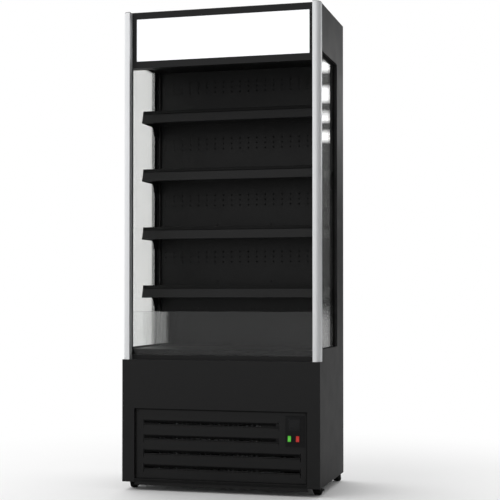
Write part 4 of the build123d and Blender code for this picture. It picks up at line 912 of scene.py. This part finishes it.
@dataclass
class MachineBase(Assembly):
    """Base front, louvre panel and the controls."""

    nodes: tuple[str, ...] = (
        "front_fascia", "louvre_panel", "control_plate", "display_module", "switch_housings",
        "power_rocker", "light_rocker", "base_pan", "rear_grille", "mains_gland")
    panel_face: float = 12.0
    panel_columns: Pair = (-354.0, 356.0)
    panel_rows: Pair = (68.0, 331.0)
    panel_screw: Pair = (3.6, 1.9)
    grille_inset: Pair = (12.0, 10.0)
    grille_screw: Pair = (4.0, 2.2)
    window: Pair = (311.0, 287.9)
    window_face: float = 9.5
    bezel_half: float = 24.0
    bezel_width: float = 2.0
    bezel_proud: float = 0.7
    key_half: Pair = (3.5, 2.0)
    key_depth: Pair = (-0.2, 0.6)
    key_columns: tuple[float, ...] = (-15.0, -5.0, 5.0, 15.0)
    key_drop: float = 14.0
    # a near-black seal whose finish is painted shade of the shadow gap round the louvre panel
    seal_half: float = 366.8
    seal_rows: Pair = (49.2, 340.8)
    seal_width: float = 6.5
    seal_thick: float = 1.2
    cover_columns: Point = (168.0, 237.0, 262.0)  # left end, fold and right end of the wiring cover
    cover_rows: Pair = (196.0, 290.0)
    cover_wall: float = 1.5
    cover_depths: Point = (13.3, 23.0, 52.0)  # its flange, its front behind the louvres and its rear

    def build(self) -> None:
        """Panel screws, the window's bezel and keys, and rear grille screws."""
        places = [(at(x, self.panel_face, z), Face.FRONT.vector())
                  for x in self.panel_columns for z in self.panel_rows]
        self.repeater.seat("panel_screws", screw_head(*self.panel_screw), places, "black_coat")
        low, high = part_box("rear_grille")
        aside, up = (inset * MM for inset in self.grille_inset)
        rear = [(Vector((x, high.y, z)), Face.REAR.vector())
                for x in (low.x + aside, 0.0, high.x - aside) for z in (low.z + up, high.z - up)]
        self.repeater.seat("rear_grille_screws", screw_head(*self.grille_screw), rear, "galvanised")
        self._window_trim()
        self._panel_shade_seal()
        self._wiring_cover()

    def _window_trim(self) -> None:
        """Raised bezel round the display and its row of touch keys."""
        (x, z), half, face, width = self.window, self.bezel_half, self.window_face, self.bezel_width
        bezel = Shape().border((x - half, x + half), (face - self.bezel_proud, face), (z - half, z + half),
                               (width, width, width), 0.2)
        self.add("display_bezel", bezel, "control_black")
        (across, up), (sunk, proud) = self.key_half, self.key_depth
        key = Shape().plate(MM * Vector((-across, -up, sunk)), MM * Vector((across, up, proud)), 0.3)
        places = [(at(x + dx, face, z - self.key_drop), Face.FRONT.vector()) for dx in self.key_columns]
        self.repeater.seat("display_keys", key.mesh("key"), places, "control_black", turn=0.0)

    def _panel_shade_seal(self) -> None:
        """Near-black foam strip round the louvre panel, inside the opening's returns: a seal whose dark
        finish is painted shade of the shadow gap round the panel.
        """
        depth = (self.panel_face - self.seal_thick, self.panel_face)
        bars = (self.seal_width, self.seal_width / 2, self.seal_width)
        seal = Shape().border((-self.seal_half, self.seal_half), depth, self.seal_rows, bars, 0.3)
        self.add("panel_seal", seal, "seal_rubber")

    def _wiring_cover(self) -> None:
        """Moulded cover over the wiring, fixed behind the panel beside the control plate."""
        (left, fold, right), (low, high) = self.cover_columns, self.cover_rows
        (flange, front, rear), wall = self.cover_depths, self.cover_wall
        cover = Shape().plate(at(fold, flange, low), at(right, flange + wall, high), 0.3)
        cover.plate(at(fold - wall, flange, low), at(fold, front, high), 0.3)
        cover.plate(at(left, front, low), at(fold, rear, high), 2.0)
        self.add("wiring_cover", cover, "control_black")


@dataclass
class ColdCircuit(Assembly):
    """Compressor, condenser, pipes and the condensate tray."""

    nodes: tuple[str, ...] = (
        "compressor", "condenser_coil", "condenser_shroud", "condenser_fan", "refrigerant_pipes",
        "condensate_tray")
    screw_inset: float = 9.0
    compressor: Pair = (262.0, 330.0)
    foot_spread: Pair = (75.0, 55.0)
    foot_top: float = 51.5
    foot_nut: Pair = (5.5, 5.0)
    bar_low: Point = (-196.0, 37.0, 60.0)
    bar_high: Point = (-192.5, 40.0, 285.0)

    def build(self) -> None:
        """Shroud screws, the compressor's foot nuts and a tie bar across the condenser."""
        self.corner_screws("condenser_shroud", self.screw_inset)
        (x, depth), (dx, dy) = self.compressor, self.foot_spread
        feet = [(at(x + a, depth + b, self.foot_top), Face.UP.vector()) for a in (-dx, dx) for b in (-dy, dy)]
        self.repeater.seat("compressor_nuts", hex_nut(*self.foot_nut), feet, "galvanised")
        bar = Shape().plate(at(*self.bar_low), at(*self.bar_high), 0.4)
        self.add("condenser_tie_bar", bar, "galvanised")


@dataclass
class Castors(Assembly):
    """Castor plates, forks, wheels and pedals."""

    nodes: tuple[str, ...] = ("castor_plates",) + tuple(
        f"castor_{part}_{place}" for part in ("fork", "wheel")
        for place in ("front_left", "front_right", "rear_left", "rear_right")
    ) + ("castor_pedal_front_left", "castor_pedal_front_right")
    fronts: tuple[Pair, ...] = ((-392.0, 70.0), (392.0, 70.0))
    rears: tuple[Pair, ...] = ((-392.0, 458.0), (392.0, 458.0))
    rear_forks: tuple[str, ...] = ("castor_fork_rear_left", "castor_fork_rear_right")
    rear_turns: Pair = (120.0, 60.0)  # degrees from X to each rear wheel's trail
    plate_low: float = 33.0
    bolt_spread: float = 18.5
    bolt: Pair = (3.6, 2.4)
    trail: float = 11.0
    axle_height: float = 13.5
    cheek_face: float = 17.0
    axle_nut: Pair = (4.2, 1.8)

    def build(self) -> None:
        """Four bolt heads on each castor plate and the rear axles' nuts."""
        spread = (-self.bolt_spread, self.bolt_spread)
        places = [(at(x + dx, d + dy, self.plate_low), Face.DOWN.vector())
                  for x, d in self.fronts + self.rears for dx in spread for dy in spread]
        self.repeater.seat("castor_bolts", screw_head(*self.bolt), places, "castor_steel")
        for fork, (x, d), degrees in zip(self.rear_forks, self.rears, self.rear_turns):
            c, s = math.cos(math.radians(degrees)), math.sin(math.radians(degrees))
            ends = []
            for side in (-1, 1):
                out = side * self.cheek_face
                seat = at(x + self.trail * c - out * s, d + self.trail * s + out * c, self.axle_height)
                ends.append((seat, Vector((-side * s, side * c, 0.0))))
            nut = hex_nut(*self.axle_nut)
            self.repeater.seat(f"{fork}_nuts", nut, ends, "castor_steel", fork)


# ---- Floor, light and camera ----
@dataclass
class Studio:
    """Plain pale floor, soft even light and the camera at the photograph's angle.

    What the world shows depends on the direction looked in. A ramp gives the share of it
    along one axis, and then, where they aren't 0 and 1, the strengths at its two ends.
    """

    floor_radius: float = 9.0
    floor_colour: Colour = (0.90, 0.90, 0.90)
    floor_clouds: float = 3.0
    cloud_shade: float = 0.985
    fade: Ramp = (0.75, 2.3)  # metres from the middle where the floor turns white
    # painted shade: reflections see the floor darker than it is
    reflected_floor_shade: float = 0.57  # what gloss loses of the floor's light
    front_room: Ramp = (0.5, 0.97, 1.0, 0.25)
    side_room: tuple[Ramp, Ramp] = ((0.0, 0.7), (-0.3, 0.1))
    side_climb: Ramp = (0.02, 0.17, 0.062, 0.18)
    low_band: tuple[Ramp, Ramp] = ((-0.007, -0.022), (-0.07, -0.05))
    low_band_strength: float = 0.6
    strips: tuple[Ramp, ...] = ((0.1245, 0.129), (0.1385, 0.1442), (0.1545, 0.164), (0.1775, 0.185))
    strip_edge: float = 0.001
    strip_end: Ramp = (0.6, 0.4)
    strip_strength: float = 3.6
    matt_light: tuple[Ramp, Ramp, Ramp] = (
        (-0.6, 0.8, 1.35, 0.5), (-0.6, 0.6, 0.45, 1.5), (-0.2, 1.0, 0.75, 1.15))
    lamp_place: Point = (-2.6, -3.0, 4.2)
    lamp_aim: Point = (0.0, 0.0, 0.9)
    lamp_side: float = 4.0
    lamp_power: float = 50.0
    lens: float = 88.92
    sensor: float = 36.0
    camera_place: Point = (1.425, -5.0862, 0.8122)
    camera_turn: Point = (90.822, 0.0, 14.984)
    camera_shift: float = 0.0535

    def build_floor(self) -> None:
        """A wide disc that keeps the shadow and turns white further off."""
        mesh = Shape().lathe([(self.floor_radius / MM, 0.0)], 96).mesh("floor")
        material = bpy.data.materials.new("pale_floor")
        material.use_nodes = True
        graph = Graph(material.node_tree)
        shade = tuple(self.cloud_shade * c for c in self.floor_colour)
        tone = graph.tint(graph.noise(self.floor_clouds, detail=3.0), self.floor_colour, shade)
        path = graph.add("ShaderNodeLightPath").outputs
        # painted shade: the floor's colour and its white are dimmed where gloss reflects them
        dim = graph.math("MULTIPLY", path["Is Glossy Ray"], self.reflected_floor_shade)
        matt = graph.add("ShaderNodeBsdfDiffuse", {"Color": graph.tint(dim, tone, grey(0.0))})
        white = graph.add("ShaderNodeEmission", {"Strength": graph.math("SUBTRACT", 1.0, dim)})
        away = graph.add("ShaderNodeVectorMath", {0: graph.place()}, operation="LENGTH").outputs["Value"]
        share = graph.fit(away, *self.fade, curve="SMOOTHSTEP")
        seen = graph.math("MAXIMUM", path["Is Glossy Ray"], path["Is Transmission Ray"])
        seen = graph.math("MAXIMUM", path["Is Camera Ray"], seen)
        share = graph.math("MULTIPLY", share, seen)
        mixed = graph.add("ShaderNodeMixShader", {0: share, 1: matt.outputs[0], 2: white.outputs[0]})
        graph.add("ShaderNodeOutputMaterial", {"Surface": mixed.outputs[0]})
        mesh.materials.append(material)
        thing = bpy.data.objects.new("floor", mesh)
        bpy.context.scene.collection.objects.link(thing)

    def _strips(self, graph: Graph, height: Socket) -> Socket:
        """Strips of light to the right, which a side pane reflects.

        Args:
            graph: the world's graph.
            height: the direction's share along Z.

        Returns:
            1 on a strip and 0 between them.
        """
        ramp = graph.add("ShaderNodeValToRGB", {0: height})
        marks = ramp.color_ramp.elements
        marks[1].color = marks[0].color
        edge = self.strip_edge
        for low, high in self.strips:
            for place, shade in ((low - edge, 0.0), (low, 1.0), (high, 1.0), (high + edge, 0.0)):
                marks.new(place).color = (*grey(shade), 1.0)
        return ramp.outputs[0]

    def build_world(self) -> None:
        """White behind the cabinet, soft even light on it, and a dimmer room in front to reflect."""
        world = bpy.data.worlds.new("studio")
        world.use_nodes = True
        bpy.context.scene.world = world
        graph = Graph(world.node_tree)
        direction = graph.add("ShaderNodeTexCoord").outputs["Generated"]
        x, y, z = graph.add("ShaderNodeSeparateXYZ", {0: direction}).outputs
        aside = graph.math("MULTIPLY", graph.fit(y, *self.side_room[0]), graph.fit(x, *self.side_room[1]))
        band = graph.math("MULTIPLY", graph.fit(z, *self.low_band[0]), graph.fit(z, *self.low_band[1]))
        climb = graph.math("MULTIPLY_ADD", band, self.low_band_strength, graph.fit(z, *self.side_climb))
        room = graph.blend(aside, graph.fit(x, *self.front_room), climb)
        reach = graph.math("MULTIPLY", aside, graph.fit(x, *self.strip_end))
        lit = graph.math("MULTIPLY", self._strips(graph, z), reach)
        room = graph.math("MULTIPLY_ADD", lit, self.strip_strength, room)
        parts = [graph.fit(axis, *ramp) for axis, ramp in zip((x, y, z), self.matt_light)]
        over = graph.math("MULTIPLY", parts[2], graph.math("MULTIPLY", parts[1], parts[0]))
        path = graph.add("ShaderNodeLightPath").outputs
        seen = graph.math("MAXIMUM", path["Is Camera Ray"], path["Is Transmission Ray"])
        strength = graph.blend(seen, graph.blend(path["Is Glossy Ray"], over, room), 1.0)
        sky = graph.add("ShaderNodeBackground", {"Color": (1.0, 1.0, 1.0, 1.0), "Strength": strength})
        graph.add("ShaderNodeOutputWorld", {"Surface": sky.outputs[0]})

    def build_lamps(self) -> None:
        """One broad soft lamp above and to the left."""
        data = bpy.data.lights.new("soft_key", "AREA")
        data.shape, data.size, data.size_y = "RECTANGLE", self.lamp_side, self.lamp_side
        data.energy = self.lamp_power
        lamp = bpy.data.objects.new("soft_key", data)
        lamp.location = self.lamp_place
        lamp.rotation_euler = (Vector(self.lamp_aim) - lamp.location).to_track_quat("-Z", "Y").to_euler()
        lamp.visible_camera = lamp.visible_glossy = False
        bpy.context.scene.collection.objects.link(lamp)

    def build_camera(self) -> None:
        """Camera with the photograph's angle and lens."""
        data = bpy.data.cameras.new("camera")
        data.lens, data.sensor_width, data.shift_y = self.lens, self.sensor, self.camera_shift
        camera = bpy.data.objects.new("camera", data)
        camera.location = self.camera_place
        camera.rotation_euler = tuple(math.radians(a) for a in self.camera_turn)
        bpy.context.scene.collection.objects.link(camera)
        bpy.context.scene.camera = camera

    def build(self) -> None:
        """Builds the whole studio."""
        self.build_floor()
        self.build_world()
        self.build_lamps()
        self.build_camera()
        bpy.context.scene.view_settings.view_transform = "Standard"
        log.info("studio ready")


def main() -> None:
    """Dresses and completes every sub-assembly, then builds the studio."""
    logging.basicConfig(level=logging.INFO)
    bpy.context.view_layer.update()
    finishes = FinishShelf()
    repeater = Repeater(finishes)
    for kind in (Shell, Header, Glazing, Shelving, Deck, MachineBase, ColdCircuit, Castors):
        assembly = kind(finishes, repeater)
        assembly.dress()
        assembly.build()
    Studio().build()


if __name__ == "__main__":
    main()
